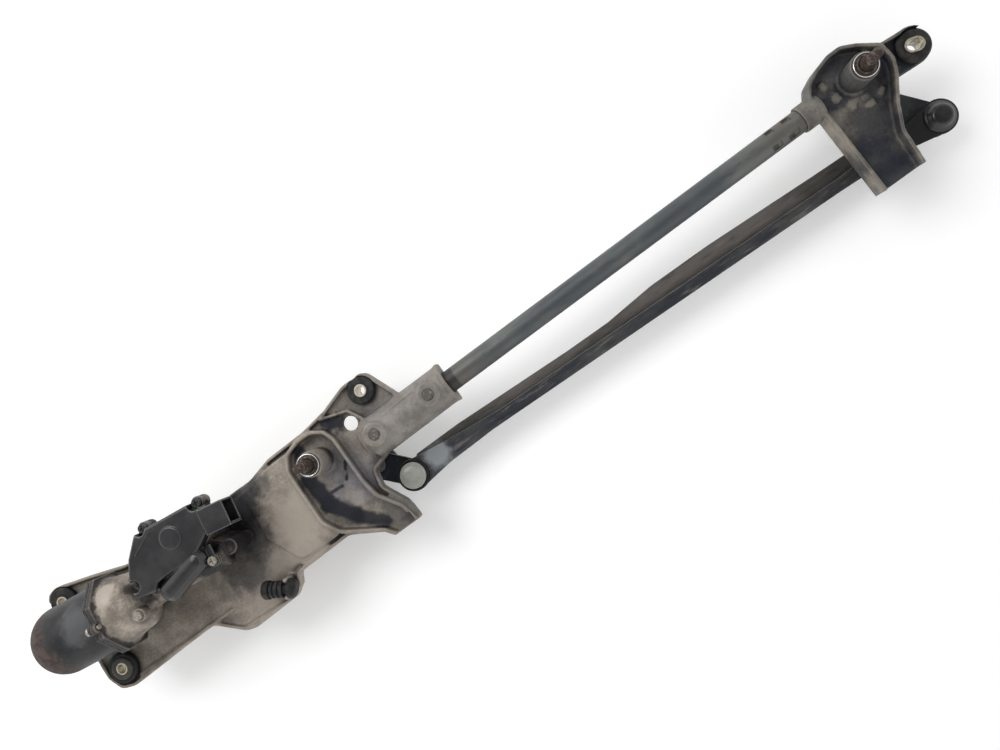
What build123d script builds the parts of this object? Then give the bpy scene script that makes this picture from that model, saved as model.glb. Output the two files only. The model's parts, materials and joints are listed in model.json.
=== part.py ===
from build123d import *
import os
from math import atan2, cos, degrees, hypot, pi, radians, sin

# Windshield wiper linkage with its motor, in millimetres.
# Origin: the driver-side spindle's axis, at the root of its thread.
# +Z points out along both spindles; +X runs along the frame tube to the passenger side.

os.makedirs("parts", exist_ok=True)

# ---------------------------------------------------------------- driving dimensions
DRIVER = (0.0, 0.0)
PASSENGER = (555.5, -10.8)
PIVOTS = {"driver": DRIVER, "passenger": PASSENGER}

THREAD_R = 4.0
THREAD_L = 13.0
KNURL_L = 12.0
KNURL_TIP_R = 5.2
SHAFT_R = 6.0
RUN_GAP = 0.05  # radial clearance of every running fit
SEAT_GAP = 0.05  # radial clearance between fixed pieces
BUSH_R = 8.0
BUSH_L = 16.0
BARREL_R = 11.5
BARREL_TOP = -14.0
BARREL_BOTTOM = -74.0

PLATE_TOP = -46.0
PLATE_T = 4.0
RIM_TOP = -42.0
SKIRT_BOTTOM = -53.0
RIM_WALL = 3.0
POCKET_TOP = -36.0
POCKET_WALL = 3.5
PLATEAU_TOP = -40.0

TUBE_Y = -12.5
TUBE_Z = -42.0
TUBE_R = 10.0
TUBE_WALL = 1.6
TUBE_START = 46.0
TUBE_END = 502.0
SOCKET_START = 48.0
SOCKET_END = 137.0
RIVET_R = 4.75
RIVET_PLACES = [(58.9, -11.6), (117.9, -11.6)]
SPIGOT_START = 452.0
COLLAR_R = 11.7

LEVERS = {"driver": (81.0, -47.5), "passenger": (83.0, -53.6)}
LEVER_RADII = {"driver": (13.5, 12.5), "passenger": (14.0, 14.0)}
DRIVE_ANGLE = -47.5
LEVER_TOP = -80.0
LEVER_T = 4.0
BALL_R = 7.0
NECK_R = 4.0
LINK_BALL_Z = -72.0
DRIVE_ARM = 45.0
DRIVE_BALL_Z = -92.0
SOCKET_R = 12.4
SOCKET_RISE = 8.5
SOCKET_DROP = 5.5
LINK_END_R = 15.0
OPEN_BALL_SLACK = 1.6  # extra room around the ball at the passenger end of the link

MOTOR = (-131.9, 11.5)
MOTOR_TURN = -7.7
WORM_OFFSET = 26.2
WORM_Z = -14.0
YOKE_R = 31.0
YOKE_WALL = 2.0
YOKE_MOUTH = -89.0
YOKE_STRAIGHT_END = -145.0
YOKE_FACE = -164.5
YOKE_END = -172.4
WHEEL_TEETH = 60
WHEEL_MODULE = 0.7
CHAMBER_R = 22.6
HOUSING_TOP = 0.0
GEAR_BOSS_BOTTOM = -70.0
COVER_TOP = 12.0

GROMMET_WAIST_R = 8.5
SLEEVE_R = 5.6
SLEEVE_BORE_R = 4.2
GROMMETS = {
    "lower": (-271.5, -45.4),
    "upper": (-284.0, 38.0),
    "centre": (68.0, 28.5),
}
GROMMET_RADII = {"lower": 14.5, "upper": 13.5, "centre": 12.5}
RIGHT_EAR = (608.2, -18.4)
RIGHT_SLOT_TURN = -20.0

PLATE_BOTTOM = PLATE_TOP - PLATE_T
LEVER_BOTTOM = LEVER_TOP - LEVER_T


# ---------------------------------------------------------------- local frames
def at(height):
    """Horizontal plane at a height in the object's frame."""
    return Plane.XY.offset(height)


def standing(place, height, turn=0.0):
    """Horizontal plane with its origin over a place, turned about +Z."""
    along = (cos(radians(turn)), sin(radians(turn)), 0)
    return Plane(origin=(place[0], place[1], height), x_dir=along, z_dir=(0, 0, 1))


def arm_end(place, length, angle):
    """Point at the end of an arm that starts at a place."""
    return (place[0] + length * cos(radians(angle)), place[1] + length * sin(radians(angle)))


def bar_frame(start, end):
    """Length of a bar between two places, and its angle about +Z."""
    run = (end[0] - start[0], end[1] - start[1])
    return hypot(*run), degrees(atan2(run[1], run[0]))


MOTOR_ALONG = (cos(radians(MOTOR_TURN)), sin(radians(MOTOR_TURN)), 0)
MOTOR_ACROSS = (-MOTOR_ALONG[1], MOTOR_ALONG[0], 0)


def motor_point(along, across):
    """Point given along and across the motor, from the output shaft's axis."""
    x = MOTOR[0] + along * MOTOR_ALONG[0] + across * MOTOR_ACROSS[0]
    y = MOTOR[1] + along * MOTOR_ALONG[1] + across * MOTOR_ACROSS[1]
    return (x, y)


def motor_plane(height):
    """Horizontal plane at the output shaft, with x along the armature."""
    return standing(MOTOR, height, MOTOR_TURN)


def armature_section(station):
    """Plane square to the armature's axis: x across the motor, y up."""
    x, y = motor_point(station, -WORM_OFFSET)
    return Plane(origin=(x, y, WORM_Z), x_dir=MOTOR_ACROSS, z_dir=MOTOR_ALONG)


def armature_side():
    """Upright plane through the armature's axis: x along it, y up."""
    x, y = motor_point(0, -WORM_OFFSET)
    back = (-MOTOR_ACROSS[0], -MOTOR_ACROSS[1], 0)
    return Plane(origin=(x, y, WORM_Z), x_dir=MOTOR_ALONG, z_dir=back)


ARMATURE_AXIS = Axis((*motor_point(0, -WORM_OFFSET), WORM_Z), MOTOR_ALONG)

PEG_PLACE = (-89.5, -75.2)
PEG_Z = -32.0
PEG_TURN = 150.2
PEG_LUG_T = 5.0
PEG_WAIST_R = 5.0
PEG_WAY = (cos(radians(PEG_TURN)), sin(radians(PEG_TURN)), 0)


def peg_section(station):
    """Plane square to the locating peg's axis: x up, y across."""
    x = PEG_PLACE[0] + station * PEG_WAY[0]
    y = PEG_PLACE[1] + station * PEG_WAY[1]
    return Plane(origin=(x, y, PEG_Z), x_dir=(0, 0, 1), z_dir=PEG_WAY)


def write(builder, name):
    """Label a finished piece and write it as its own STEP file."""
    builder.part.label = name
    export_step(builder.part, f"parts/{name}.step")


# ---------------------------------------------------------------- outlines
DRIVER_OUTLINE = [
    (-297.5, 26), (-297.5, 51), (-284, 54), (-249.5, 43.5), (-215, 31.6), (-180, 27), (-100, 24.5),
    (-65, 24), (-40, 30), (1, 30.5), (28.5, 34.3), (55, 42), (79, 42), (93.3, 6.7), (137, 6.7),
    (137, -30), (55.5, -31), (37, -36), (33, -52), (44.5, -75), (46, -94), (19, -94), (12.5, -87),
    (-18, -69.5), (-77, -70.8), (-82, -80), (-92, -86.5), (-140, -88), (-150, -85), (-174, -62.7),
    (-272, -65.5), (-284.5, -61), (-290.5, -46), (-289, -12.2), (-215.4, -23.1), (-210.2, 13.6),
]
DRIVER_CORNERS = [
    6, 9, 9, 20, 30, 30, 30,
    12, 20, 40, 12, 12, 9, 3, 0,
    0, 6, 5, 9, 8, 2, 2, 8,
    14, 4, 4, 8, 8, 14, 12,
    9, 9, 12, 3, 9, 9,
]
POCKET_OUTLINE = [
    (-31, 9), (-22, 23), (-6, 27.5), (9, 27), (21, 19), (24.5, 8), (24.5, -38), (27, -54),
    (41, -75), (45, -94), (19, -94), (12, -85), (-22, -64), (-32, -47),
]
POCKET_CORNERS = [12, 10, 10, 10, 9, 12, 20, 14, 12, 0, 0, 8, 14, 14]
PLATEAU_OUTLINE = [(-78, 18), (-40, 24), (0, 24), (0, -60), (-30, -64), (-66, -62), (-82, -30)]

MOTOR_LUGS = [(37, -23), (30, 7), (-33, -2)]
FLANGE_SCREWS = [(-4.3, 35.2), (4.3, -35.2)]

BRACKET_OUTLINE = [
    (514.5, -3), (521, 7), (532, 12.5), (546, 16.5), (558, 16.5), (569, 10.5), (585.5, -2),
    (586.5, -18), (581, -30), (568, -50), (559, -69), (556.5, -100), (517.5, -100), (517.5, -24),
]
BRACKET_CORNERS = [6, 9, 12, 10, 10, 12, 7, 12, 14, 14, 12, 0, 0, 12]


def outline(points, corners):
    """Closed outline with rounded corners, as a face in the open sketch."""
    with BuildLine() as edge:
        FilletPolyline(*points, radius=corners, close=True)
    make_face(edge.edges())


# ---------------------------------------------------------------- driver-side casting
with BuildPart() as driver_casting:
    # mounting plate, and the wall that follows its edge above and below
    with BuildSketch(at(PLATE_BOTTOM)):
        outline(DRIVER_OUTLINE, DRIVER_CORNERS)
    extrude(amount=PLATE_T)
    with BuildSketch(at(SKIRT_BOTTOM)):
        outline(DRIVER_OUTLINE, DRIVER_CORNERS)
        offset(amount=-RIM_WALL, kind=Kind.INTERSECTION, mode=Mode.SUBTRACT)
    extrude(amount=RIM_TOP - SKIRT_BOTTOM)
    # raised shoulder between the motor and the pivot
    with BuildSketch(at(PLATE_TOP - 1)):
        outline(PLATEAU_OUTLINE, 9)
    extrude(amount=PLATEAU_TOP - PLATE_TOP + 1)
    # pocket around the pivot, open at its tail
    with BuildSketch(at(PLATE_BOTTOM)):
        outline(POCKET_OUTLINE, POCKET_CORNERS)
    extrude(amount=POCKET_TOP - PLATE_BOTTOM)
    with BuildSketch(at(PLATE_TOP)):
        outline(POCKET_OUTLINE, POCKET_CORNERS)
        offset(amount=-POCKET_WALL, kind=Kind.INTERSECTION, mode=Mode.INTERSECT)
    extrude(amount=POCKET_TOP - PLATE_TOP + 1, mode=Mode.SUBTRACT)
    with BuildSketch(at(PLATE_TOP)):
        with Locations((31.5, -90)):
            Rectangle(20, 14)
    extrude(amount=POCKET_TOP - PLATE_TOP + 1, mode=Mode.SUBTRACT)
    # arched socket for the frame tube, with two rivet bosses
    with BuildSketch(Plane.YZ.offset(SOCKET_START)):
        with BuildLine():
            Polyline((6.7, RIM_TOP), (6.7, SKIRT_BOTTOM), (-30, SKIRT_BOTTOM), (-30, RIM_TOP))
            ThreePointArc((-30, RIM_TOP), (TUBE_Y, TUBE_Z + 13), (6.7, RIM_TOP))
        make_face()
    extrude(amount=SOCKET_END - SOCKET_START)
    with BuildSketch(Plane.YZ.offset(SOCKET_END - 3)):
        with BuildLine():
            Polyline((7.7, RIM_TOP), (7.7, SKIRT_BOTTOM), (-31, SKIRT_BOTTOM), (-31, RIM_TOP))
            ThreePointArc((-31, RIM_TOP), (TUBE_Y, TUBE_Z + 14.6), (7.7, RIM_TOP))
        make_face()
    extrude(amount=3)
    with BuildSketch(Plane.YZ.offset(SOCKET_START - 4)):
        with Locations((TUBE_Y, TUBE_Z)):
            Circle(13)
    extrude(amount=SOCKET_END - SOCKET_START + 4)
    with BuildSketch(at(TUBE_Z)):
        with Locations(*RIVET_PLACES):
            Circle(11)
    extrude(amount=15)
    # pivot barrel, and the boss under it
    with BuildSketch(at(BARREL_BOTTOM)):
        Circle(BARREL_R)
    extrude(amount=BARREL_TOP - BARREL_BOTTOM)
    with BuildSketch(at(SKIRT_BOTTOM - 4)):
        Circle(15)
    extrude(amount=PLATE_BOTTOM - SKIRT_BOTTOM + 4)
    # seat of the motor: no wall stands where the gearbox and its lugs rest
    with BuildSketch(motor_plane(PLATE_TOP)):
        Circle(CHAMBER_R + 3.4)
        with Locations(*MOTOR_LUGS):
            Circle(9)
        with Locations((-79, -WORM_OFFSET)):
            Rectangle(42, 50)
    extrude(amount=12, mode=Mode.SUBTRACT)
    # forked lug that holds the locating peg
    with BuildSketch(standing(PEG_PLACE, PLATE_BOTTOM, PEG_TURN)):
        Rectangle(PEG_LUG_T, 19)
    extrude(amount=PEG_Z + 3 - PLATE_BOTTOM)
    # underside ribs
    with BuildSketch(at(SKIRT_BOTTOM)):
        with Locations((-95, -42)):
            Rectangle(150, 4)
        with Locations((-55, -24)):
            Rectangle(4, 88)
        with Locations((-195, -46)):
            Rectangle(4, 28)
    extrude(amount=PLATE_BOTTOM - SKIRT_BOTTOM)
    # bores for the bushes, the tube, its rivets, the gearbox boss and the grommets
    with BuildSketch(at(BARREL_BOTTOM)):
        Circle(BUSH_R + SEAT_GAP)
    extrude(amount=BARREL_TOP - BARREL_BOTTOM, mode=Mode.SUBTRACT)
    with BuildSketch(Plane.YZ.offset(TUBE_START - 1)):
        with Locations((TUBE_Y, TUBE_Z)):
            Circle(TUBE_R + SEAT_GAP)
    extrude(amount=SOCKET_END - TUBE_START + 1, mode=Mode.SUBTRACT)
    with BuildSketch(at(TUBE_Z - 20)):
        with Locations(*RIVET_PLACES):
            Circle(RIVET_R + SEAT_GAP)
    extrude(amount=40, mode=Mode.SUBTRACT)
    with BuildSketch(at(SKIRT_BOTTOM - 1)):
        with Locations(MOTOR):
            Circle(15)
        with Locations(*[motor_point(*lug) for lug in MOTOR_LUGS]):
            Circle(3.2)
        with Locations(*GROMMETS.values()):
            Circle(GROMMET_WAIST_R + SEAT_GAP)
        with Locations((41.5, 11.0)):
            Circle(6.7)
    extrude(amount=POCKET_TOP - SKIRT_BOTTOM + 2, mode=Mode.SUBTRACT)
    # clear space over each grommet's upper flange and under its lower one
    with BuildSketch(at(PLATE_TOP)):
        for name, place in GROMMETS.items():
            with Locations(place):
                Circle(GROMMET_RADII[name] + 0.6)
    extrude(amount=20, mode=Mode.SUBTRACT)
    with BuildSketch(at(SKIRT_BOTTOM - 1)):
        for name, place in GROMMETS.items():
            with Locations(place):
                Circle(GROMMET_RADII[name] + 0.6)
    extrude(amount=PLATE_BOTTOM - SKIRT_BOTTOM + 1, mode=Mode.SUBTRACT)
    # slot in the peg's lug, open at the top
    with BuildSketch(peg_section(-4)):
        SlotOverall(30, 2 * (PEG_WAIST_R + SEAT_GAP))
    extrude(amount=8, mode=Mode.SUBTRACT)
    # shallow cast recesses in the pocket's floor
    with BuildSketch(at(PLATE_TOP - 1.2)):
        with PolarLocations(25, 4, start_angle=-100, angular_range=72):
            Rectangle(5, 8)
    extrude(amount=2, mode=Mode.SUBTRACT)
write(driver_casting, "driver_casting")

# ---------------------------------------------------------------- passenger-side casting
with BuildPart() as passenger_casting:
    with BuildSketch(at(SKIRT_BOTTOM)):
        outline(BRACKET_OUTLINE, BRACKET_CORNERS)
    extrude(amount=-32 - SKIRT_BOTTOM)
    with BuildSketch(at(-43)):
        outline(BRACKET_OUTLINE, BRACKET_CORNERS)
        offset(amount=-RIM_WALL, kind=Kind.INTERSECTION, mode=Mode.INTERSECT)
    extrude(amount=12, mode=Mode.SUBTRACT)
    with BuildSketch(at(SKIRT_BOTTOM)):
        outline(BRACKET_OUTLINE, BRACKET_CORNERS)
        offset(amount=-RIM_WALL, kind=Kind.INTERSECTION, mode=Mode.INTERSECT)
    extrude(amount=-47 - SKIRT_BOTTOM, mode=Mode.SUBTRACT)
    # the tray is open at its tail
    with BuildSketch(at(-43)):
        with Locations((537, -98)):
            Rectangle(32.9, 14)
    extrude(amount=12, mode=Mode.SUBTRACT)
    # ear for the right fixing point, with its raised upper edge
    with BuildSketch(at(PLATE_BOTTOM)):
        with Locations(RIGHT_EAR):
            Circle(14.8)
        with Locations((576, -16)):
            Circle(15)
        make_hull()
    extrude(amount=PLATE_T)
    with BuildSketch(at(PLATE_BOTTOM)):
        with BuildLine():
            Polyline((572, 4.5), (588, -0.8), (604.5, -2.4))
            ThreePointArc((604.5, -2.4), (613, -3.9), (619, -8.5))
            Line((619, -8.5), (617.2, -10.2))
            ThreePointArc((617.2, -10.2), (612, -6.4), (604.5, -5))
            Polyline((604.5, -5), (588, -3.4), (572, 1.5), (572, 4.5))
        make_face()
    extrude(amount=12)
    # barrel, its boss, and the tube's collar and spigot
    with BuildSketch(standing(PASSENGER, BARREL_BOTTOM)):
        Circle(BARREL_R)
    extrude(amount=BARREL_TOP - BARREL_BOTTOM)
    with BuildSketch(standing(PASSENGER, SKIRT_BOTTOM - 4)):
        Circle(15)
    extrude(amount=-45 - SKIRT_BOTTOM + 4)
    with BuildSketch(Plane.YZ.offset(TUBE_END + 0.2)):
        with Locations((TUBE_Y, TUBE_Z)):
            Circle(COLLAR_R)
    extrude(amount=19)
    with BuildSketch(Plane.YZ.offset(SPIGOT_START)):
        with Locations((TUBE_Y, TUBE_Z)):
            Circle(TUBE_R - TUBE_WALL - 1.0)
    extrude(amount=60)
    # raised cast pads in an arc on the tray's floor
    with BuildSketch(standing(PASSENGER, -43.5)):
        with PolarLocations(17.5, 5, start_angle=168, angular_range=128):
            Rectangle(4, 6)
    extrude(amount=1.6)
    # bore for the bushes and seat for the right grommet
    with BuildSketch(standing(PASSENGER, BARREL_BOTTOM)):
        Circle(BUSH_R + SEAT_GAP)
    extrude(amount=BARREL_TOP - BARREL_BOTTOM, mode=Mode.SUBTRACT)
    with BuildSketch(standing(RIGHT_EAR, SKIRT_BOTTOM)):
        Circle(10.5 + SEAT_GAP)
    extrude(amount=20, mode=Mode.SUBTRACT)
    with BuildSketch(standing(RIGHT_EAR, PLATE_TOP)):
        Circle(14.3)
    extrude(amount=20, mode=Mode.SUBTRACT)
    with BuildSketch(standing(RIGHT_EAR, SKIRT_BOTTOM)):
        Circle(14.3)
    extrude(amount=PLATE_BOTTOM - SKIRT_BOTTOM, mode=Mode.SUBTRACT)
write(passenger_casting, "passenger_casting")

# ---------------------------------------------------------------- frame tube and its rivets
with BuildPart() as frame_tube:
    with BuildSketch(Plane.YZ.offset(TUBE_START)):
        with Locations((TUBE_Y, TUBE_Z)):
            Circle(TUBE_R)
            Circle(TUBE_R - TUBE_WALL, mode=Mode.SUBTRACT)
    extrude(amount=TUBE_END - TUBE_START)
    with BuildSketch(at(TUBE_Z - 20)):
        with Locations(*RIVET_PLACES):
            Circle(RIVET_R + SEAT_GAP)
    extrude(amount=40, mode=Mode.SUBTRACT)
    # rectangular crimps that lock the tube on the bracket's spigot
    for x, tilt in [(475, -42), (491, -42), (475, 40), (492, 40)]:
        up = (0, sin(radians(-tilt)), cos(radians(-tilt)))
        crown = Plane(origin=(x, TUBE_Y, TUBE_Z), x_dir=(1, 0, 0), z_dir=up)
        with BuildSketch(crown.offset(TUBE_R - 0.9)):
            Rectangle(7.5, 5)
        extrude(amount=3, mode=Mode.SUBTRACT)
write(frame_tube, "frame_tube")

with BuildPart() as tube_rivets:
    with BuildSketch(at(TUBE_Z - 14.5)):
        with Locations(*RIVET_PLACES):
            Circle(RIVET_R)
    extrude(amount=31)
    chamfer(tube_rivets.faces().sort_by(Axis.Z)[-2:].edges(), 0.8)
write(tube_rivets, "tube_rivets")

# ---------------------------------------------------------------- fixing points
for name, place in GROMMETS.items():
    with BuildPart() as grommet:
        with BuildSketch(standing(place, PLATE_BOTTOM - 5)):
            Circle(GROMMET_RADII[name])
        extrude(amount=4.9)
        with BuildSketch(standing(place, PLATE_BOTTOM - 5)):
            Circle(GROMMET_WAIST_R)
        extrude(amount=PLATE_T + 10)
        with BuildSketch(standing(place, PLATE_TOP + 0.1)):
            Circle(GROMMET_RADII[name])
        extrude(amount=4.9)
        chamfer(grommet.faces().sort_by(Axis.Z)[-1].edges().sort_by(SortBy.LENGTH)[-1], 1.2)
        with BuildSketch(standing(place, PLATE_BOTTOM - 5)):
            Circle(SLEEVE_R + SEAT_GAP)
        extrude(amount=PLATE_T + 10, mode=Mode.SUBTRACT)
    write(grommet, f"grommet_{name}")
    with BuildPart() as sleeve:
        with BuildSketch(standing(place, PLATE_BOTTOM - 6)):
            Circle(SLEEVE_R)
            Circle(SLEEVE_BORE_R, mode=Mode.SUBTRACT)
        extrude(amount=PLATE_T + 12)
    write(sleeve, f"sleeve_{name}")

with BuildPart() as grommet_right:
    with BuildSketch(standing(RIGHT_EAR, PLATE_BOTTOM - 5)):
        Circle(14)
    extrude(amount=4.9)
    with BuildSketch(standing(RIGHT_EAR, PLATE_BOTTOM - 5)):
        Circle(10.5)
    extrude(amount=PLATE_T + 10)
    with BuildSketch(standing(RIGHT_EAR, PLATE_TOP + 0.1)):
        Circle(14)
    extrude(amount=4.9)
    chamfer(grommet_right.faces().sort_by(Axis.Z)[-1].edges(), 1.5)
    with BuildSketch(standing(RIGHT_EAR, PLATE_BOTTOM - 5, RIGHT_SLOT_TURN)):
        SlotOverall(16.1, 12.1)
    extrude(amount=PLATE_T + 10, mode=Mode.SUBTRACT)
write(grommet_right, "grommet_right")

with BuildPart() as sleeve_right:
    with BuildSketch(standing(RIGHT_EAR, PLATE_BOTTOM - 6, RIGHT_SLOT_TURN)):
        SlotOverall(16, 12)
        SlotOverall(13, 9, mode=Mode.SUBTRACT)
    extrude(amount=PLATE_T + 12)
write(sleeve_right, "sleeve_right")

with BuildPart() as peg_pin:
    with BuildSketch(peg_section(-7)):
        Circle(2.5)
    extrude(amount=25)
write(peg_pin, "peg_pin")

with BuildPart() as locating_peg:
    # rounded head, waist in the lug's slot, and the ribbed end
    with BuildSketch(Plane(origin=(*PEG_PLACE, PEG_Z), x_dir=PEG_WAY, z_dir=(PEG_WAY[1], -PEG_WAY[0], 0))):
        with BuildLine():
            Line((-9.6, 0), (-9.6, 3))
            ThreePointArc((-9.6, 3), (-8.2, 7), (-4.6, 9))
            Polyline(
                (-4.6, 9), (-2.6, 9), (-2.6, PEG_WAIST_R), (2.6, PEG_WAIST_R), (2.6, 7.6), (5.4, 7.6),
                (5.4, 6.2), (7.2, 6.2), (7.2, 7.6), (10, 7.6), (10, 6.2), (11.8, 6.2), (11.8, 7.6),
                (14.2, 7.6), (14.2, 6.4), (15.6, 6.4), (15.6, 8.4), (19, 8.4),
            )
            ThreePointArc((19, 8.4), (21.8, 6.8), (22.6, 4))
            Polyline((22.6, 4), (22.6, 0), (-9.6, 0))
        make_face()
    revolve(axis=Axis((*PEG_PLACE, PEG_Z), PEG_WAY))
    with BuildSketch(peg_section(-7.1)):
        Circle(2.5 + SEAT_GAP)
    extrude(amount=25.2, mode=Mode.SUBTRACT)
write(locating_peg, "locating_peg")


# ---------------------------------------------------------------- pivots, levers and ball studs
def post(place, low, high, radius, mode=Mode.ADD):
    """Upright cylinder between two heights, in the open part."""
    with Locations((*place, low)):
        Cylinder(radius, high - low, align=(Align.CENTER, Align.CENTER, Align.MIN), mode=mode)


def ball_stud(place, ball_z):
    """Ball on a neck, riveted through a lever or crank plate, in the open part."""
    with Locations((*place, ball_z)):
        Sphere(BALL_R)
    post(place, LEVER_BOTTOM, LEVER_TOP, NECK_R - SEAT_GAP)
    if ball_z > LEVER_TOP:
        post(place, LEVER_TOP, ball_z, NECK_R)
        post(place, LEVER_BOTTOM - 1.8, LEVER_BOTTOM, 6)
    else:
        post(place, ball_z, LEVER_BOTTOM, NECK_R)
        post(place, LEVER_TOP, LEVER_TOP + 1.8, 6)


LINK_BALLS = {name: arm_end(place, *LEVERS[name]) for name, place in PIVOTS.items()}
LEVER_DRIVE_BALL = arm_end(DRIVER, DRIVE_ARM, DRIVE_ANGLE)
CRANK_BALL = arm_end(MOTOR, DRIVE_ARM, DRIVE_ANGLE)

for name, place in PIVOTS.items():
    with BuildPart() as bushes:
        for bottom in (BARREL_BOTTOM + 0.2, BARREL_TOP - 0.2 - BUSH_L):
            with BuildSketch(standing(place, bottom)):
                Circle(BUSH_R)
                Circle(SHAFT_R + RUN_GAP, mode=Mode.SUBTRACT)
            extrude(amount=BUSH_L)
    write(bushes, f"{name}_bushes")

    with BuildPart() as spindle:
        with BuildSketch(Plane(origin=(*place, 0), x_dir=(1, 0, 0), z_dir=(0, -1, 0))):
            with BuildLine():
                Polyline(
                    (0, LEVER_BOTTOM - 3), (7, LEVER_BOTTOM - 3), (7, LEVER_BOTTOM - 0.05),
                    (SHAFT_R, LEVER_BOTTOM - 0.05), (SHAFT_R, -KNURL_L), (KNURL_TIP_R, -0.8),
                    (THREAD_R + 0.4, 0), (THREAD_R, 0), (THREAD_R, THREAD_L), (0, THREAD_L),
                    (0, LEVER_BOTTOM - 3),
                )
            make_face()
        revolve(axis=Axis((*place, 0), (0, 0, 1)))
    write(spindle, f"{name}_spindle")

    with BuildPart() as ring:
        with BuildSketch(standing(place, BARREL_TOP + 0.3)):
            Circle(BARREL_R - 0.7)
            Circle(SHAFT_R + SEAT_GAP, mode=Mode.SUBTRACT)
        extrude(amount=1.4)
    write(ring, f"{name}_cap_ring")

    with BuildPart() as spacer:
        with BuildSketch(standing(place, LEVER_TOP + 0.05)):
            Circle(9.5)
            Circle(SHAFT_R + SEAT_GAP, mode=Mode.SUBTRACT)
        extrude(amount=BARREL_BOTTOM - LEVER_TOP - 0.35)
    write(spacer, f"{name}_spacer")

    lever_length, lever_angle = LEVERS[name]
    hub_radius, tip_radius = LEVER_RADII[name]
    with BuildPart() as lever:
        with BuildSketch(standing(place, LEVER_BOTTOM, lever_angle)):
            Circle(hub_radius)
            with Locations((lever_length, 0)):
                Circle(tip_radius)
            make_hull()
            Circle(SHAFT_R + SEAT_GAP, mode=Mode.SUBTRACT)
            with Locations((lever_length, 0)):
                Circle(NECK_R, mode=Mode.SUBTRACT)
            if name == "driver":
                with Locations((DRIVE_ARM, 0)):
                    Circle(NECK_R, mode=Mode.SUBTRACT)
        extrude(amount=LEVER_T)
    write(lever, f"{name}_lever")

    with BuildPart() as link_ball:
        ball_stud(LINK_BALLS[name], LINK_BALL_Z)
    write(link_ball, f"{name}_link_ball")

with BuildPart() as driver_drive_ball:
    ball_stud(LEVER_DRIVE_BALL, DRIVE_BALL_Z)
write(driver_drive_ball, "driver_drive_ball")


# ---------------------------------------------------------------- rods and their ball sockets
def ball_socket(place, ball_z, way, slack):
    """Nylon cup over a ball: way is +1 for a ball on top of its lever, -1 under it.

    Slack is extra room around the ball, and a cup that has it is taller and domed."""
    rim = ball_z - way * SOCKET_DROP
    crown = ball_z + way * (SOCKET_RISE + 0.8 * slack)
    bevel = 6.0 if slack else 1.2
    crown_r = SOCKET_R - (5.0 if slack else 1.0)
    shoulder = crown - way * bevel
    post(place, min(rim, shoulder), max(rim, shoulder), SOCKET_R)
    base_r, top_r = (SOCKET_R, crown_r) if way > 0 else (crown_r, SOCKET_R)
    with Locations((*place, min(shoulder, crown))):
        Cone(base_r, top_r, bevel, align=(Align.CENTER, Align.CENTER, Align.MIN))
    with Locations((*place, ball_z)):
        Sphere(BALL_R + RUN_GAP + slack, mode=Mode.SUBTRACT)
    post(place, min(rim, ball_z), max(rim, ball_z), 5.8 + 0.5 * slack, Mode.SUBTRACT)


def dust_seal(place, ball_z, way):
    """Soft ring on the cup's rim, around the ball's neck and clear of the lever."""
    near = ball_z - way * (SOCKET_DROP + 0.05)
    far = near - way * 1.6
    post(place, min(near, far), max(near, far), SOCKET_R - 0.6)
    post(place, min(near, far), max(near, far), 6.2, Mode.SUBTRACT)


SOCKETS = {
    "link_socket_driver": (LINK_BALLS["driver"], LINK_BALL_Z, 1, 0),
    "link_socket_passenger": (LINK_BALLS["passenger"], LINK_BALL_Z, 1, OPEN_BALL_SLACK),
    "drive_socket_lever": (LEVER_DRIVE_BALL, DRIVE_BALL_Z, -1, 0),
    "drive_socket_crank": (CRANK_BALL, DRIVE_BALL_Z, -1, 0),
}
for name, (place, ball_z, way, slack) in SOCKETS.items():
    with BuildPart() as socket:
        ball_socket(place, ball_z, way, slack)
    write(socket, name)
    with BuildPart() as seal:
        dust_seal(place, ball_z, way)
    write(seal, name.replace("socket", "seal"))

LINK_L, LINK_TURN = bar_frame(LINK_BALLS["driver"], LINK_BALLS["passenger"])


def link_plane(height):
    return standing(LINK_BALLS["driver"], height, LINK_TURN)


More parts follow.
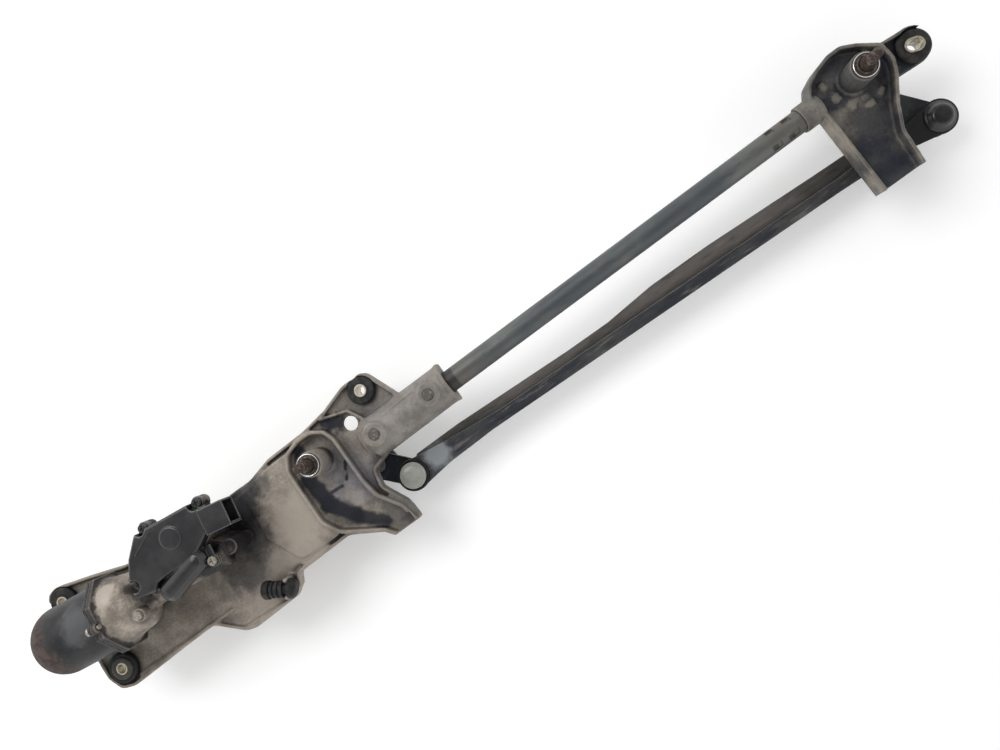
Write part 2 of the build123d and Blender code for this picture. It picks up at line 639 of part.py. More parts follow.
LINK_WEB_TOP = LINK_BALL_Z + 2.5
LINK_FLANGE_Z = LINK_BALL_Z - 6.0
LINK_SHEET = 1.8
with BuildPart() as link_rod:
    # ring ends that hold the nylon cups
    with BuildSketch(link_plane(LINK_WEB_TOP - 3.5)):
        with Locations((0, 0), (LINK_L, 0)):
            Circle(LINK_END_R)
    extrude(amount=3.5)
    # web, from ring to ring
    with BuildSketch(link_plane(LINK_WEB_TOP - LINK_SHEET)):
        outline(
            [
                (4, -14), (35, -9.2), (85, -6.4), (LINK_L - 100, -5.4), (LINK_L - 45, -6.5),
                (LINK_L - 4, -14), (LINK_L - 4, 14), (LINK_L - 40, 8), (LINK_L - 100, 5.4),
                (100, 5.4), (45, 9.5), (4, 14),
            ],
            [0, 40, 60, 60, 40, 0, 0, 40, 60, 60, 40, 0],
        )
    extrude(amount=LINK_SHEET)
    # stiffening lip on one side
    with BuildSketch(link_plane(LINK_WEB_TOP - 6)):
        with Locations((LINK_L / 2, -4.6)):
            Rectangle(LINK_L - 180, 1.6)
    extrude(amount=6)
    # step down, and the lower flange, which is wider in the middle
    with BuildSketch(link_plane(LINK_FLANGE_Z)):
        with Locations((LINK_L / 2, 4.4)):
            Rectangle(LINK_L - 50, 1.6)
    extrude(amount=LINK_WEB_TOP - LINK_FLANGE_Z)
    with BuildSketch(link_plane(LINK_FLANGE_Z)):
        outline(
            [
                (10, 3.6), (LINK_L - 10, 3.6), (LINK_L - 10, 14), (LINK_L - 30, 18.6),
                (LINK_L - 110, 19.4), (335, 21.5), (275, 20.5), (225, 15.2), (180, 14.6),
                (60, 16.3), (10, 14.8),
            ],
            [0, 0, 3, 20, 60, 60, 30, 30, 30, 60, 3],
        )
    extrude(amount=LINK_SHEET)
    with BuildSketch(link_plane(LINK_FLANGE_Z - 1)):
        with Locations((0, 0), (LINK_L, 0)):
            Circle(SOCKET_R + SEAT_GAP)
    extrude(amount=LINK_WEB_TOP - LINK_FLANGE_Z + 2, mode=Mode.SUBTRACT)
write(link_rod, "link_rod")

DRIVE_L, DRIVE_TURN = bar_frame(CRANK_BALL, LEVER_DRIVE_BALL)
DRIVE_TOP = DRIVE_BALL_Z + 1.5
with BuildPart() as drive_rod:
    with BuildSketch(standing(CRANK_BALL, DRIVE_TOP - 3.5, DRIVE_TURN)):
        with Locations((0, 0), (DRIVE_L, 0)):
            Circle(16)
    extrude(amount=3.5)
    with BuildSketch(standing(CRANK_BALL, DRIVE_TOP - 3.5, DRIVE_TURN)):
        with Locations((DRIVE_L / 2, 0)):
            Rectangle(DRIVE_L - 20, 16)
    extrude(amount=2)
    for side in (-7.2, 7.2):
        with BuildSketch(standing(CRANK_BALL, DRIVE_TOP - 8, DRIVE_TURN)):
            with Locations((DRIVE_L / 2, side)):
                Rectangle(DRIVE_L - 28, 1.6)
        extrude(amount=6)
    with BuildSketch(standing(CRANK_BALL, DRIVE_TOP - 10, DRIVE_TURN)):
        with Locations((0, 0), (DRIVE_L, 0)):
            Circle(SOCKET_R + SEAT_GAP)
    extrude(amount=12, mode=Mode.SUBTRACT)
write(drive_rod, "drive_rod")

# ---------------------------------------------------------------- motor: yoke and armature
with BuildPart() as motor_yoke:
    with BuildSketch(armature_side()):
        with BuildLine():
            Line((YOKE_MOUTH, YOKE_R), (YOKE_STRAIGHT_END, YOKE_R))
            ThreePointArc((YOKE_STRAIGHT_END, YOKE_R), (-157.5, 26), (YOKE_FACE, 16))
            Polyline((YOKE_FACE, 16), (YOKE_FACE, 10), (YOKE_END, 10), (YOKE_END, 0))
            Polyline((YOKE_END, 0), (YOKE_END + 2, 0), (YOKE_END + 2, 8), (YOKE_FACE + 2, 8))
            Line((YOKE_FACE + 2, 8), (YOKE_FACE + 2, 15))
            ThreePointArc(
                (YOKE_FACE + 2, 15), (-155.8, 24.4), (YOKE_STRAIGHT_END, YOKE_R - YOKE_WALL)
            )
            Polyline(
                (YOKE_STRAIGHT_END, YOKE_R - YOKE_WALL), (YOKE_MOUTH, YOKE_R - YOKE_WALL),
                (YOKE_MOUTH, YOKE_R),
            )
        make_face()
    revolve(axis=ARMATURE_AXIS)
    # mouth flange with two screw ears
    with BuildSketch(armature_section(YOKE_MOUTH - 2)):
        RegularPolygon(34.5, 8, rotation=22.5, major_radius=False)
        with Locations(*FLANGE_SCREWS):
            Circle(4.5)
        Circle(YOKE_R - 1, mode=Mode.SUBTRACT)
        with Locations(*FLANGE_SCREWS):
            Circle(2.1, mode=Mode.SUBTRACT)
    extrude(amount=2)
write(motor_yoke, "motor_yoke")

with BuildPart() as yoke_screws:
    with BuildSketch(armature_section(YOKE_MOUTH - 2.1)):
        with Locations(*FLANGE_SCREWS):
            Circle(3.4)
    extrude(amount=-3)
    with BuildSketch(armature_section(YOKE_MOUTH - 2.1)):
        with Locations(*FLANGE_SCREWS):
            Circle(2)
    extrude(amount=9)
write(yoke_screws, "yoke_screws")

with BuildPart() as yoke_magnets:
    with BuildSketch(armature_section(-144)):
        Circle(YOKE_R - YOKE_WALL - SEAT_GAP)
        Circle(22.5, mode=Mode.SUBTRACT)
        with Locations((31, 0), (-31, 0)):
            Rectangle(34, 28, mode=Mode.SUBTRACT)
    extrude(amount=44)
write(yoke_magnets, "yoke_magnets")

with BuildPart() as yoke_bearing:
    with BuildSketch(armature_section(YOKE_END + 2.2)):
        Circle(7.9)
        Circle(4 + RUN_GAP, mode=Mode.SUBTRACT)
    extrude(amount=7)
write(yoke_bearing, "yoke_bearing")

WORM_PITCH = pi * WHEEL_MODULE
WORM_ROOT_R = 4.4
with BuildPart() as armature_shaft:
    with BuildSketch(armature_section(YOKE_END + 4)):
        Circle(4)
    extrude(amount=24 - YOKE_END - 4)
    with BuildSketch(armature_section(-14)):
        Circle(WORM_ROOT_R)
    extrude(amount=28)
write(armature_shaft, "armature_shaft")

with BuildPart() as armature_core:
    with BuildSketch(armature_section(-142)):
        Circle(21.5)
        Circle(4 + SEAT_GAP, mode=Mode.SUBTRACT)
        with PolarLocations(20, 10):
            Rectangle(6, 2.2, mode=Mode.SUBTRACT)
    extrude(amount=40)
write(armature_core, "armature_core")

with BuildPart() as windings:
    for start in (-152, -101.9):
        with BuildSketch(armature_section(start)):
            Circle(19)
            Circle(4 + SEAT_GAP, mode=Mode.SUBTRACT)
        extrude(amount=9.8)
write(windings, "windings")

with BuildPart() as commutator:
    with BuildSketch(armature_section(-91.5)):
        Circle(9)
        Circle(4 + SEAT_GAP, mode=Mode.SUBTRACT)
        with PolarLocations(9, 10):
            Rectangle(1.6, 0.6, mode=Mode.SUBTRACT)
    extrude(amount=16)
write(commutator, "commutator")

# ---------------------------------------------------------------- motor: gear housing
COVER_SCREWS = [(25, -27), (-45, -15), (-18, 26), (36, 23)]
EARTH_SCREW = (-55, -38)
CONNECTOR_PLACE = (48.5, 4.5)
CONNECTOR_TURN = -3.0
COVER_OUTLINE = [
    (-24, 24.5), (33, 25), (40.5, 18.5), (36, -3), (20, -14), (4, -18), (-24, -21), (-30, -27),
    (-49, -26), (-49, -12), (-39, 8),
]
with BuildPart() as gear_housing:
    # wheel chamber, its floor and the platform under the cover
    with BuildSketch(motor_plane(PLATE_TOP + 0.1)):
        Circle(CHAMBER_R + 2.4)
    extrude(amount=HOUSING_TOP - PLATE_TOP - 0.1)
    with BuildSketch(motor_plane(-9)):
        outline(COVER_OUTLINE, 4)
    extrude(amount=9)
    # worm tunnel, widening to the yoke's mouth
    with BuildSketch(armature_side()):
        with BuildLine():
            Polyline(
                (YOKE_MOUTH + 0.1, 0), (YOKE_MOUTH + 0.1, 33), (-84, 33), (-82, 30), (-62, 26),
                (-50, 14), (-30, 11), (30, 11), (32, 9), (32, 0), (YOKE_MOUTH + 0.1, 0),
            )
        make_face()
    revolve(axis=ARMATURE_AXIS)
    with BuildSketch(armature_section(YOKE_MOUTH + 0.1)):
        RegularPolygon(34.5, 8, rotation=22.5, major_radius=False)
        with Locations(*FLANGE_SCREWS):
            Circle(4.5)
    extrude(amount=5)
    # fixing pillars down to the plate
    with BuildSketch(motor_plane(PLATE_TOP + 0.1)):
        with Locations(*MOTOR_LUGS):
            Circle(7)
        with Locations((30, -18)):
            Rectangle(16, 9, rotation=-32)
    extrude(amount=38)
    with BuildSketch(motor_plane(-10.5)):
        with Locations(*COVER_SCREWS):
            Circle(5.5)
    extrude(amount=10.5)
    with BuildSketch(motor_plane(-14)):
        with Locations(EARTH_SCREW):
            Circle(6)
    extrude(amount=23)
    # boss for the output shaft, through the casting
    with BuildSketch(motor_plane(GEAR_BOSS_BOTTOM)):
        Circle(13)
    extrude(amount=-42 - GEAR_BOSS_BOTTOM)
    # hollows: wheel chamber, worm bore, brush space, bush bore and screw holes
    with BuildSketch(motor_plane(-30)):
        Circle(CHAMBER_R)
    extrude(amount=30, mode=Mode.SUBTRACT)
    with BuildSketch(armature_section(YOKE_MOUTH)):
        Circle(26.5)
    extrude(amount=20, mode=Mode.SUBTRACT)
    with BuildSketch(armature_section(YOKE_MOUTH)):
        Circle(7)
    extrude(amount=118, mode=Mode.SUBTRACT)
    with BuildSketch(motor_plane(GEAR_BOSS_BOTTOM)):
        Circle(BUSH_R + SEAT_GAP)
    extrude(amount=-22 - GEAR_BOSS_BOTTOM, mode=Mode.SUBTRACT)
    with BuildSketch(motor_plane(-48)):
        with Locations(*MOTOR_LUGS):
            Circle(3.2)
    extrude(amount=38, mode=Mode.SUBTRACT)
    with BuildSketch(motor_plane(-10)):
        with Locations(*COVER_SCREWS, EARTH_SCREW):
            Circle(2.1)
    extrude(amount=20, mode=Mode.SUBTRACT)
    with BuildSketch(armature_section(YOKE_MOUTH)):
        with Locations(*FLANGE_SCREWS):
            Circle(2.1)
    extrude(amount=9, mode=Mode.SUBTRACT)
    # seat of the cover's connector shroud
    with BuildSketch(motor_plane(-7.1)):
        with Locations(CONNECTOR_PLACE):
            Rectangle(24.4, 23.6, rotation=CONNECTOR_TURN)
    extrude(amount=10, mode=Mode.SUBTRACT)
write(gear_housing, "gear_housing")

with BuildPart() as output_bush:
    with BuildSketch(motor_plane(GEAR_BOSS_BOTTOM + 0.2)):
        Circle(BUSH_R)
        Circle(5 + RUN_GAP, mode=Mode.SUBTRACT)
    extrude(amount=-30.8 - GEAR_BOSS_BOTTOM)
write(output_bush, "output_bush")

with BuildPart() as armature_bush:
    with BuildSketch(armature_section(-60)):
        Circle(7 - SEAT_GAP)
        Circle(4 + RUN_GAP, mode=Mode.SUBTRACT)
    extrude(amount=14)
write(armature_bush, "armature_bush")

with BuildPart() as motor_screws:
    with BuildSketch(motor_plane(PLATE_BOTTOM - 5.2)):
        with Locations(*MOTOR_LUGS):
            RegularPolygon(5, 6, major_radius=False)
    extrude(amount=5)
    with BuildSketch(motor_plane(PLATE_BOTTOM - 1.4)):
        with Locations(*MOTOR_LUGS):
            Circle(6.8)
    extrude(amount=1.3)
    with BuildSketch(motor_plane(PLATE_BOTTOM - 1)):
        with Locations(*MOTOR_LUGS):
            Circle(3)
    extrude(amount=40.6)
write(motor_screws, "motor_screws")

# ---------------------------------------------------------------- motor: cover and electrics
with BuildPart() as gear_cover:
    with BuildSketch(motor_plane(HOUSING_TOP + 0.1)):
        outline(COVER_OUTLINE, 4)
    extrude(amount=COVER_TOP - 0.1)
    chamfer(gear_cover.faces().sort_by(Axis.Z)[-1].edges(), 1.5)
    # screw lugs
    with BuildSketch(motor_plane(HOUSING_TOP + 0.1)):
        with Locations(*COVER_SCREWS):
            Circle(5.5)
    extrude(amount=3)
    with BuildSketch(motor_plane(HOUSING_TOP + 0.1)):
        with Locations((24, -20)):
            Rectangle(9, 14)
    extrude(amount=3)
    # long domed bulge over the worm
    with BuildSketch(motor_plane(HOUSING_TOP + 0.1)):
        with Locations((-3, -26)):
            SlotOverall(54, 19, rotation=20)
    extrude(amount=7)
    with BuildSketch(motor_plane(HOUSING_TOP + 7)):
        with Locations((-3, -26)):
            SlotOverall(54, 19, rotation=20)
    extrude(amount=5, taper=38)
    # raised disc over the wheel's axis
    with BuildSketch(motor_plane(COVER_TOP - 0.1)):
        with Locations((5, 7)):
            Circle(9.5)
    extrude(amount=1.2)
    # connector shroud, open toward the passenger side
    with BuildSketch(motor_plane(-7)):
        with Locations(CONNECTOR_PLACE):
            Rectangle(24, 23, rotation=CONNECTOR_TURN)
    extrude(amount=20)
    # hollow inside, and the holes
    with BuildSketch(motor_plane(HOUSING_TOP)):
        outline(COVER_OUTLINE, 4)
        offset(amount=-2.5, kind=Kind.INTERSECTION, mode=Mode.INTERSECT)
    extrude(amount=9.5, mode=Mode.SUBTRACT)
    with BuildSketch(motor_plane(-5)):
        with Locations((CONNECTOR_PLACE[0] + 4, CONNECTOR_PLACE[1])):
            Rectangle(20, 19, rotation=CONNECTOR_TURN)
    extrude(amount=16, mode=Mode.SUBTRACT)
    with BuildSketch(motor_plane(HOUSING_TOP)):
        with Locations(*COVER_SCREWS):
            Circle(2.1)
    extrude(amount=20, mode=Mode.SUBTRACT)
    with BuildSketch(motor_plane(HOUSING_TOP + 3.1)):
        with Locations(*COVER_SCREWS):
            Circle(5.6)
    extrude(amount=20, mode=Mode.SUBTRACT)
write(gear_cover, "gear_cover")

with BuildPart() as cover_screws:
    with BuildSketch(motor_plane(HOUSING_TOP + 3.2)):
        with Locations(*COVER_SCREWS):
            Circle(4)
    extrude(amount=2.6)
    with BuildSketch(motor_plane(HOUSING_TOP + 3.2)):
        with Locations(*COVER_SCREWS):
            Circle(2)
    extrude(amount=-11)
    with BuildSketch(motor_plane(9.1)):
        with Locations(EARTH_SCREW):
            Circle(4)
    extrude(amount=2.6)
    with BuildSketch(motor_plane(9.1)):
        with Locations(EARTH_SCREW):
            Circle(2)
    extrude(amount=-18)
    # cross slots in the heads
    with BuildSketch(motor_plane(HOUSING_TOP + 4.6)):
        with Locations(*COVER_SCREWS):
            Rectangle(5, 0.9)
            Rectangle(0.9, 5)
    extrude(amount=2, mode=Mode.SUBTRACT)
write(cover_screws, "cover_screws")

with BuildPart() as circuit_board:
    with BuildSketch(motor_plane(4)):
        outline(COVER_OUTLINE, 4)
        offset(amount=-4, kind=Kind.INTERSECTION, mode=Mode.INTERSECT)
        with Locations((5, 7)):
            Circle(6, mode=Mode.SUBTRACT)
        with Locations(*COVER_SCREWS):
            Circle(5, mode=Mode.SUBTRACT)
    extrude(amount=1.6)
write(circuit_board, "circuit_board")

with BuildPart() as connector_pins:
    for row in (0.5, 6.5):
        with BuildSketch(armature_section(43.5)):
            for column in (-6, 0, 6):
                with Locations((CONNECTOR_PLACE[1] + WORM_OFFSET + column, row - WORM_Z)):
                    Rectangle(2, 0.8)
        extrude(amount=10)
write(connector_pins, "connector_pins")

with BuildPart() as brush_holder:
    with BuildSketch(armature_section(-80)):
        Circle(26.4)
        Circle(11, mode=Mode.SUBTRACT)
    extrude(amount=2.5)
write(brush_holder, "brush_holder")

with BuildPart() as brushes:
    with BuildSketch(armature_section(-86)):
        with PolarLocations(14.3, 3, start_angle=40):
            Rectangle(10, 5)
    extrude(amount=5.9)
write(brushes, "brushes")

# ---------------------------------------------------------------- motor: output shaft and crank
with BuildPart() as output_shaft:
    with BuildSketch(motor_plane(LEVER_BOTTOM - 10)):
        Circle(4)
    extrude(amount=10)
    with BuildSketch(motor_plane(LEVER_BOTTOM)):
        Circle(5)
    extrude(amount=-8 - LEVER_BOTTOM)
write(output_shaft, "output_shaft")

with BuildPart() as worm_wheel:
    tip_r = WHEEL_TEETH * WHEEL_MODULE / 2 + 0.65
    root_r = tip_r - 1.5
    with BuildSketch(motor_plane(WORM_Z - 5)):
        Circle(root_r)
        with PolarLocations(root_r - 0.4, WHEEL_TEETH, start_angle=-90 + 180 / WHEEL_TEETH):
            with BuildLine():
                Polyline((0, -0.5), (1.9, -0.28), (1.9, 0.28), (0, 0.5), close=True)
            make_face()
        Circle(5 + SEAT_GAP, mode=Mode.SUBTRACT)
    extrude(amount=10)
    with BuildSketch(motor_plane(-29)):
        Circle(10)
        Circle(5 + SEAT_GAP, mode=Mode.SUBTRACT)
    extrude(amount=21.5)
write(worm_wheel, "worm_wheel")

with BuildPart() as crank_arm:
    with BuildSketch(standing(MOTOR, LEVER_BOTTOM, DRIVE_ANGLE)):
        Circle(13)
        with Locations((DRIVE_ARM, 0)):
            Circle(11)
        make_hull()
        Circle(5 + SEAT_GAP, mode=Mode.SUBTRACT)
        with Locations((DRIVE_ARM, 0)):
            Circle(NECK_R, mode=Mode.SUBTRACT)
    extrude(amount=LEVER_T)
write(crank_arm, "crank_arm")

with BuildPart() as crank_nut:
    with BuildSketch(motor_plane(LEVER_BOTTOM - 0.1)):
        RegularPolygon(6.5, 6, major_radius=False)
        Circle(4 + SEAT_GAP, mode=Mode.SUBTRACT)
    extrude(amount=-6.5)
write(crank_nut, "crank_nut")

with BuildPart() as crank_ball:
    ball_stud(CRANK_BALL, DRIVE_BALL_Z)
write(crank_ball, "crank_ball")
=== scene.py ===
import json
import math

import bmesh
import bpy
from mathutils import Matrix, Vector


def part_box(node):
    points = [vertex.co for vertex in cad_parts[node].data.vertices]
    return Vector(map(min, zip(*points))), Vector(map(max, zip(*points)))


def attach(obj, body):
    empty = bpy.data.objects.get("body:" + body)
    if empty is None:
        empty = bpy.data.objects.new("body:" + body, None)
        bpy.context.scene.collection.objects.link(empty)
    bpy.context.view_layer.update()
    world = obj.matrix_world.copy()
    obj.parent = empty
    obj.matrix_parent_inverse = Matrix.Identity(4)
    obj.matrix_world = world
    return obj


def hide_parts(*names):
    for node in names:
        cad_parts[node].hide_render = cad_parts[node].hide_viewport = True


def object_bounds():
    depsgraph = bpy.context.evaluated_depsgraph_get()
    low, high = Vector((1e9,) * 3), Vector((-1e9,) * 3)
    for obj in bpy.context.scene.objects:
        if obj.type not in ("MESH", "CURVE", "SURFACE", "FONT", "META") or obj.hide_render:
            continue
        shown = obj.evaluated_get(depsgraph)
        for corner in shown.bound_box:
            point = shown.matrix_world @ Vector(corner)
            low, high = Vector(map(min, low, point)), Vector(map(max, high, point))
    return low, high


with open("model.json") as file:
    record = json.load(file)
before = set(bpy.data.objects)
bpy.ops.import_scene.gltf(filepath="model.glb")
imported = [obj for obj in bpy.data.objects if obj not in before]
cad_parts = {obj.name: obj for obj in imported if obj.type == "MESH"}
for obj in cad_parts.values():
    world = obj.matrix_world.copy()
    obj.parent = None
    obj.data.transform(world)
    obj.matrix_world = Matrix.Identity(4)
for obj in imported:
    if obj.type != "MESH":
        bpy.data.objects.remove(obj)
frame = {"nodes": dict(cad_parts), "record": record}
cad_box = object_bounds()
NODES = frame["nodes"]
SLOT_OF = {part["node"]: part["material_slot"] for part in frame["record"]["subparts"]}
MM = 0.001

# ---------------------------------------------------------------- places in the row frame, in millimetres
DRIVER = (0.0, 0.0)
PASSENGER = (555.5, -10.8)
MOTOR = (-131.9, 11.5)
MOTOR_TURN = math.radians(-7.7)
LINK_BALL_DRIVER = (54.72, -59.72, -72.0)
LINK_BALL_PASSENGER = (604.75, -77.61, -72.0)
LOWER_GROMMET = (-271.5, -45.4)
COVER_LUGS = ((36, 23), (-18, 26))  # along and across the motor
STEP_TOP = -40.3  # raised panel between the motor and the pivot pocket
STEP_FOOT = -46.5
SPECKLE = 0.35  # strength of the fine grain on castings
DISC_SEGMENTS = 48
CRIMPS = [(490.3, -4.9), (474.7, -4.8), (488.3, -19.7), (472.8, -19.0)]
PADS = [(536.6, -15.0, -72), (542.4, -27.8, -40), (554.6, -35.6, -6), (567.2, -32.6, 32), (533.0, -1.5, -88)]

# ---------------------------------------------------------------- camera and floor
CAMERA_PLACE = Vector((0.2475, -0.0698, 0.6064))
CAMERA_TARGET = Vector((0.1771, -0.0342, -0.0420))
CAMERA_UP = Vector((0.59054, 0.80676, -0.01985))
CAMERA_LENS = 27.0
FLOOR_GAP = 0.002
FLOOR_SIZE = 40.0
FLOOR_GLOW = 0.13


def linear(red, green, blue):
    """Screen colour from 0 to 255 as a linear colour for a shader."""
    channels = []
    for value in (red, green, blue):
        share = value / 255
        channels.append(share / 12.92 if share <= 0.04045 else ((share + 0.055) / 1.055) ** 2.4)
    return (*channels, 1.0)


def motor_point(along, across, height):
    """Point along and across the motor from its output shaft, in millimetres."""
    cos, sin = math.cos(MOTOR_TURN), math.sin(MOTOR_TURN)
    return (MOTOR[0] + along * cos - across * sin, MOTOR[1] + along * sin + across * cos, height)


# ---------------------------------------------------------------- node materials
class Finish:
    """Node material that is shaded by place in the row frame."""

    def __init__(self, name):
        self.material = bpy.data.materials.new(name)
        self.material.use_nodes = True
        self.tree = self.material.node_tree
        self.shader = self.tree.nodes["Principled BSDF"]
        self.place = self.tree.nodes.new("ShaderNodeTexCoord").outputs["Object"]

    def node(self, kind, inputs=(), **settings):
        """New node; inputs are (socket, value or output) pairs."""
        made = self.tree.nodes.new(kind)
        for key, value in settings.items():
            setattr(made, key, value)
        for socket, value in inputs:
            self.put(made.inputs[socket], value)
        return made

    def put(self, socket, value):
        """Link an output to a socket, or set its constant."""
        if isinstance(value, bpy.types.NodeSocket):
            self.tree.links.new(value, socket)
        else:
            socket.default_value = value

    def noise(self, size, detail=4.0, stretch=(1, 1, 1), roughness=0.6):
        """Noise with features about size millimetres across."""
        scaled = self.node(
            "ShaderNodeMapping",
            [("Vector", self.place), ("Scale", tuple(1 / s for s in stretch))],
        )
        made = self.node(
            "ShaderNodeTexNoise",
            [
                ("Vector", scaled.outputs[0]),
                ("Scale", 1 / (size * MM)),
                ("Detail", detail),
                ("Roughness", roughness),
            ],
        )
        return made.outputs["Fac"]

    def fade(self, value, low, high):
        """Smooth step of a value from 0 at low to 1 at high."""
        made = self.node(
            "ShaderNodeMapRange",
            [("Value", value), ("From Min", low), ("From Max", high)],
            interpolation_type="SMOOTHSTEP",
        )
        return made.outputs["Result"]

    def maths(self, operation, first, second=0.0):
        """One arithmetic step."""
        made = self.node("ShaderNodeMath", [(0, first), (1, second)], operation=operation)
        return made.outputs[0]

    def mix(self, factor, first, second):
        """Colour between two colours."""
        made = self.node(
            "ShaderNodeMix", [(0, factor), (6, first), (7, second)], data_type="RGBA", clamp_factor=True
        )
        return made.outputs[2]

    def over(self, mask, share, colour, tint):
        """Colour with a tint laid over it where the mask is, at a share of full cover."""
        return self.mix(self.maths("MULTIPLY", mask, share), colour, tint)

    def vectors(self, operation, first, second=(0.0, 0.0, 0.0)):
        """One vector step on two vectors."""
        return self.node("ShaderNodeVectorMath", [(0, first), (1, second)], operation=operation).outputs

    def away(self, centre):
        """Vector from a point, in millimetres, to here."""
        return self.vectors("SUBTRACT", self.place, tuple(c * MM for c in centre))[0]

    def patch(self, far, reach, ragged, core):
        """1 within a core share of the reach and 0 beyond it, with a ragged border."""
        swing = self.maths("SUBTRACT", self.noise(reach * 0.9, 5, roughness=0.65), 0.5)
        wavy = self.maths("MULTIPLY", swing, reach * ragged * 2.2 * MM)
        return self.fade(self.maths("ADD", far, wavy), reach * 1.1 * MM, reach * core * MM)

    def spot(self, centre, reach, ragged=0.8):
        """Ragged patch, in millimetres: 1 at its centre and 0 beyond its reach."""
        return self.patch(self.vectors("LENGTH", self.away(centre))["Value"], reach, ragged, 0.45)

    def stripe(self, start, end, reach):
        """Slightly ragged stripe between two points, in millimetres: 1 along its middle."""
        run = (Vector(end) - Vector(start)) * MM
        away = self.away(start)
        along = self.vectors("DOT_PRODUCT", away, tuple(run / run.length_squared))["Value"]
        share = self.maths("MINIMUM", self.maths("MAXIMUM", along, 0.0), 1.0)
        foot = self.node("ShaderNodeVectorMath", [(0, tuple(run)), ("Scale", share)], operation="SCALE")
        off = self.vectors("SUBTRACT", away, foot.outputs[0])[0]
        return self.patch(self.vectors("LENGTH", off)["Value"], reach, 0.35, 0.6)

    def edges(self, radius):
        """1 on sharp edges and 0 on flat faces."""
        soft = self.node("ShaderNodeBevel", [("Radius", radius * MM)], samples=6).outputs[0]
        hard = self.node("ShaderNodeNewGeometry").outputs["Normal"]
        return self.fade(self.vectors("DOT_PRODUCT", soft, hard)["Value"], 0.995, 0.86)

    def ridges(self, low=0.51, high=0.58):
        """1 on ridges of a dense mesh."""
        return self.fade(self.node("ShaderNodeNewGeometry").outputs["Pointiness"], low, high)

    def hollows(self, reach, full=0.25):
        """1 deep in corners, 0 in the open."""
        sky = self.node("ShaderNodeAmbientOcclusion", [("Distance", reach * MM)], samples=8)
        return self.fade(sky.outputs["AO"], 0.95, full)

    def part_of(self, axis):
        """One coordinate of the place, in metres."""
        return self.node("ShaderNodeSeparateXYZ", [(0, self.place)]).outputs[axis]

    def up(self):
        """How far a face looks up, from -1 to 1."""
        normal = self.node("ShaderNodeNewGeometry").outputs["Normal"]
        return self.node("ShaderNodeSeparateXYZ", [(0, normal)]).outputs[2]

    def set(self, colour, roughness=0.5, metallic=0.0, bumps=(), bevel=0.0, **constants):
        """Connect the shader; bumps are (height, depth in millimetres) pairs, finest last."""
        self.put(self.shader.inputs["Base Color"], colour)
        self.put(self.shader.inputs["Roughness"], roughness)
        self.put(self.shader.inputs["Metallic"], metallic)
        normal = None
        if bevel:
            normal = self.node("ShaderNodeBevel", [("Radius", bevel * MM)], samples=6).outputs[0]
        for height, depth in bumps:
            inputs = [("Height", height), ("Distance", depth * MM), ("Strength", 1.0)]
            made = self.node("ShaderNodeBump", inputs)
            if normal is not None:
                self.put(made.inputs["Normal"], normal)
            normal = made.outputs[0]
        if normal is not None:
            self.put(self.shader.inputs["Normal"], normal)
        for socket, value in constants.items():
            self.shader.inputs[socket.replace("_", " ")].default_value = value
        return self.material


def cast_finish(
    name, light, mid, dark, stain_and_shade, stains=(), shines=(), tints=(), marks=(), stripes=(), coat=None
):
    """Oxidised cast aluminium: mottled, darker in its corners with dirt and painted shade, and paler on its
    ridges with wear and a painted highlight.

    Coat is a point on the motor's axis and a half-thickness: the slice between carries black paint."""
    f = Finish(name)
    broad = f.fade(f.noise(60, 3), 0.38, 0.62)
    patch = f.fade(f.noise(14, 6, roughness=0.7), 0.36, 0.66)
    grain = f.noise(2.2, 5, roughness=0.75)
    colour = f.mix(broad, mid, light)
    colour = f.over(patch, 0.45, colour, dark)
    colour = f.over(f.fade(grain, 0.42, 0.7), SPECKLE, colour, dark)
    colour = f.over(f.fade(grain, 0.5, 0.3), SPECKLE * 0.7, colour, light)
    for centre, reach, strength, tint in tints:
        shade = f.over(patch, 0.5, tint, dark)
        colour = f.over(f.spot(centre, reach), strength, colour, shade)
    # Painted light: shines lay paler patches where light falls on the casting.
    for centre, reach, strength in shines:
        colour = f.over(f.spot(centre, reach), strength, colour, light)
    for centre, reach, strength in stains:
        colour = f.over(f.spot(centre, reach), strength, colour, stain_and_shade)
    # Stripes darken with the stain and shade colour, for stains and for painted shade.
    for start, end, reach, strength in stripes:
        colour = f.over(f.stripe(start, end, reach), strength, colour, stain_and_shade)
    for centre, reach, strength in marks:
        colour = f.over(f.spot(centre, reach, 0.9), strength, colour, light)
    if coat:
        centre, half = coat
        axis = (math.cos(MOTOR_TURN), math.sin(MOTOR_TURN), 0.0)
        station = f.vectors("DOT_PRODUCT", f.away(centre), axis)["Value"]
        reach = f.maths("ADD", f.maths("ABSOLUTE", station), f.maths("MULTIPLY", patch, 0.002))
        painted = f.fade(reach, half * MM, half * 0.8 * MM)
        colour = f.over(painted, 0.9, colour, linear(36, 36, 39))
    # Painted shade and dirt: corners darkened by ambient occlusion.
    colour = f.over(f.hollows(14, 0.35), 0.8, colour, stain_and_shade)
    # Paler ridges: wear and a painted highlight.
    colour = f.over(f.ridges(), 0.5, colour, light)
    rough = f.maths("ADD", f.maths("MULTIPLY", patch, 0.12), 0.52)
    return f.set(
        colour,
        rough,
        0.25,
        [(f.noise(5, 4), 0.5), (grain, 0.4)],
        Specular_IOR_Level=0.35,
    )


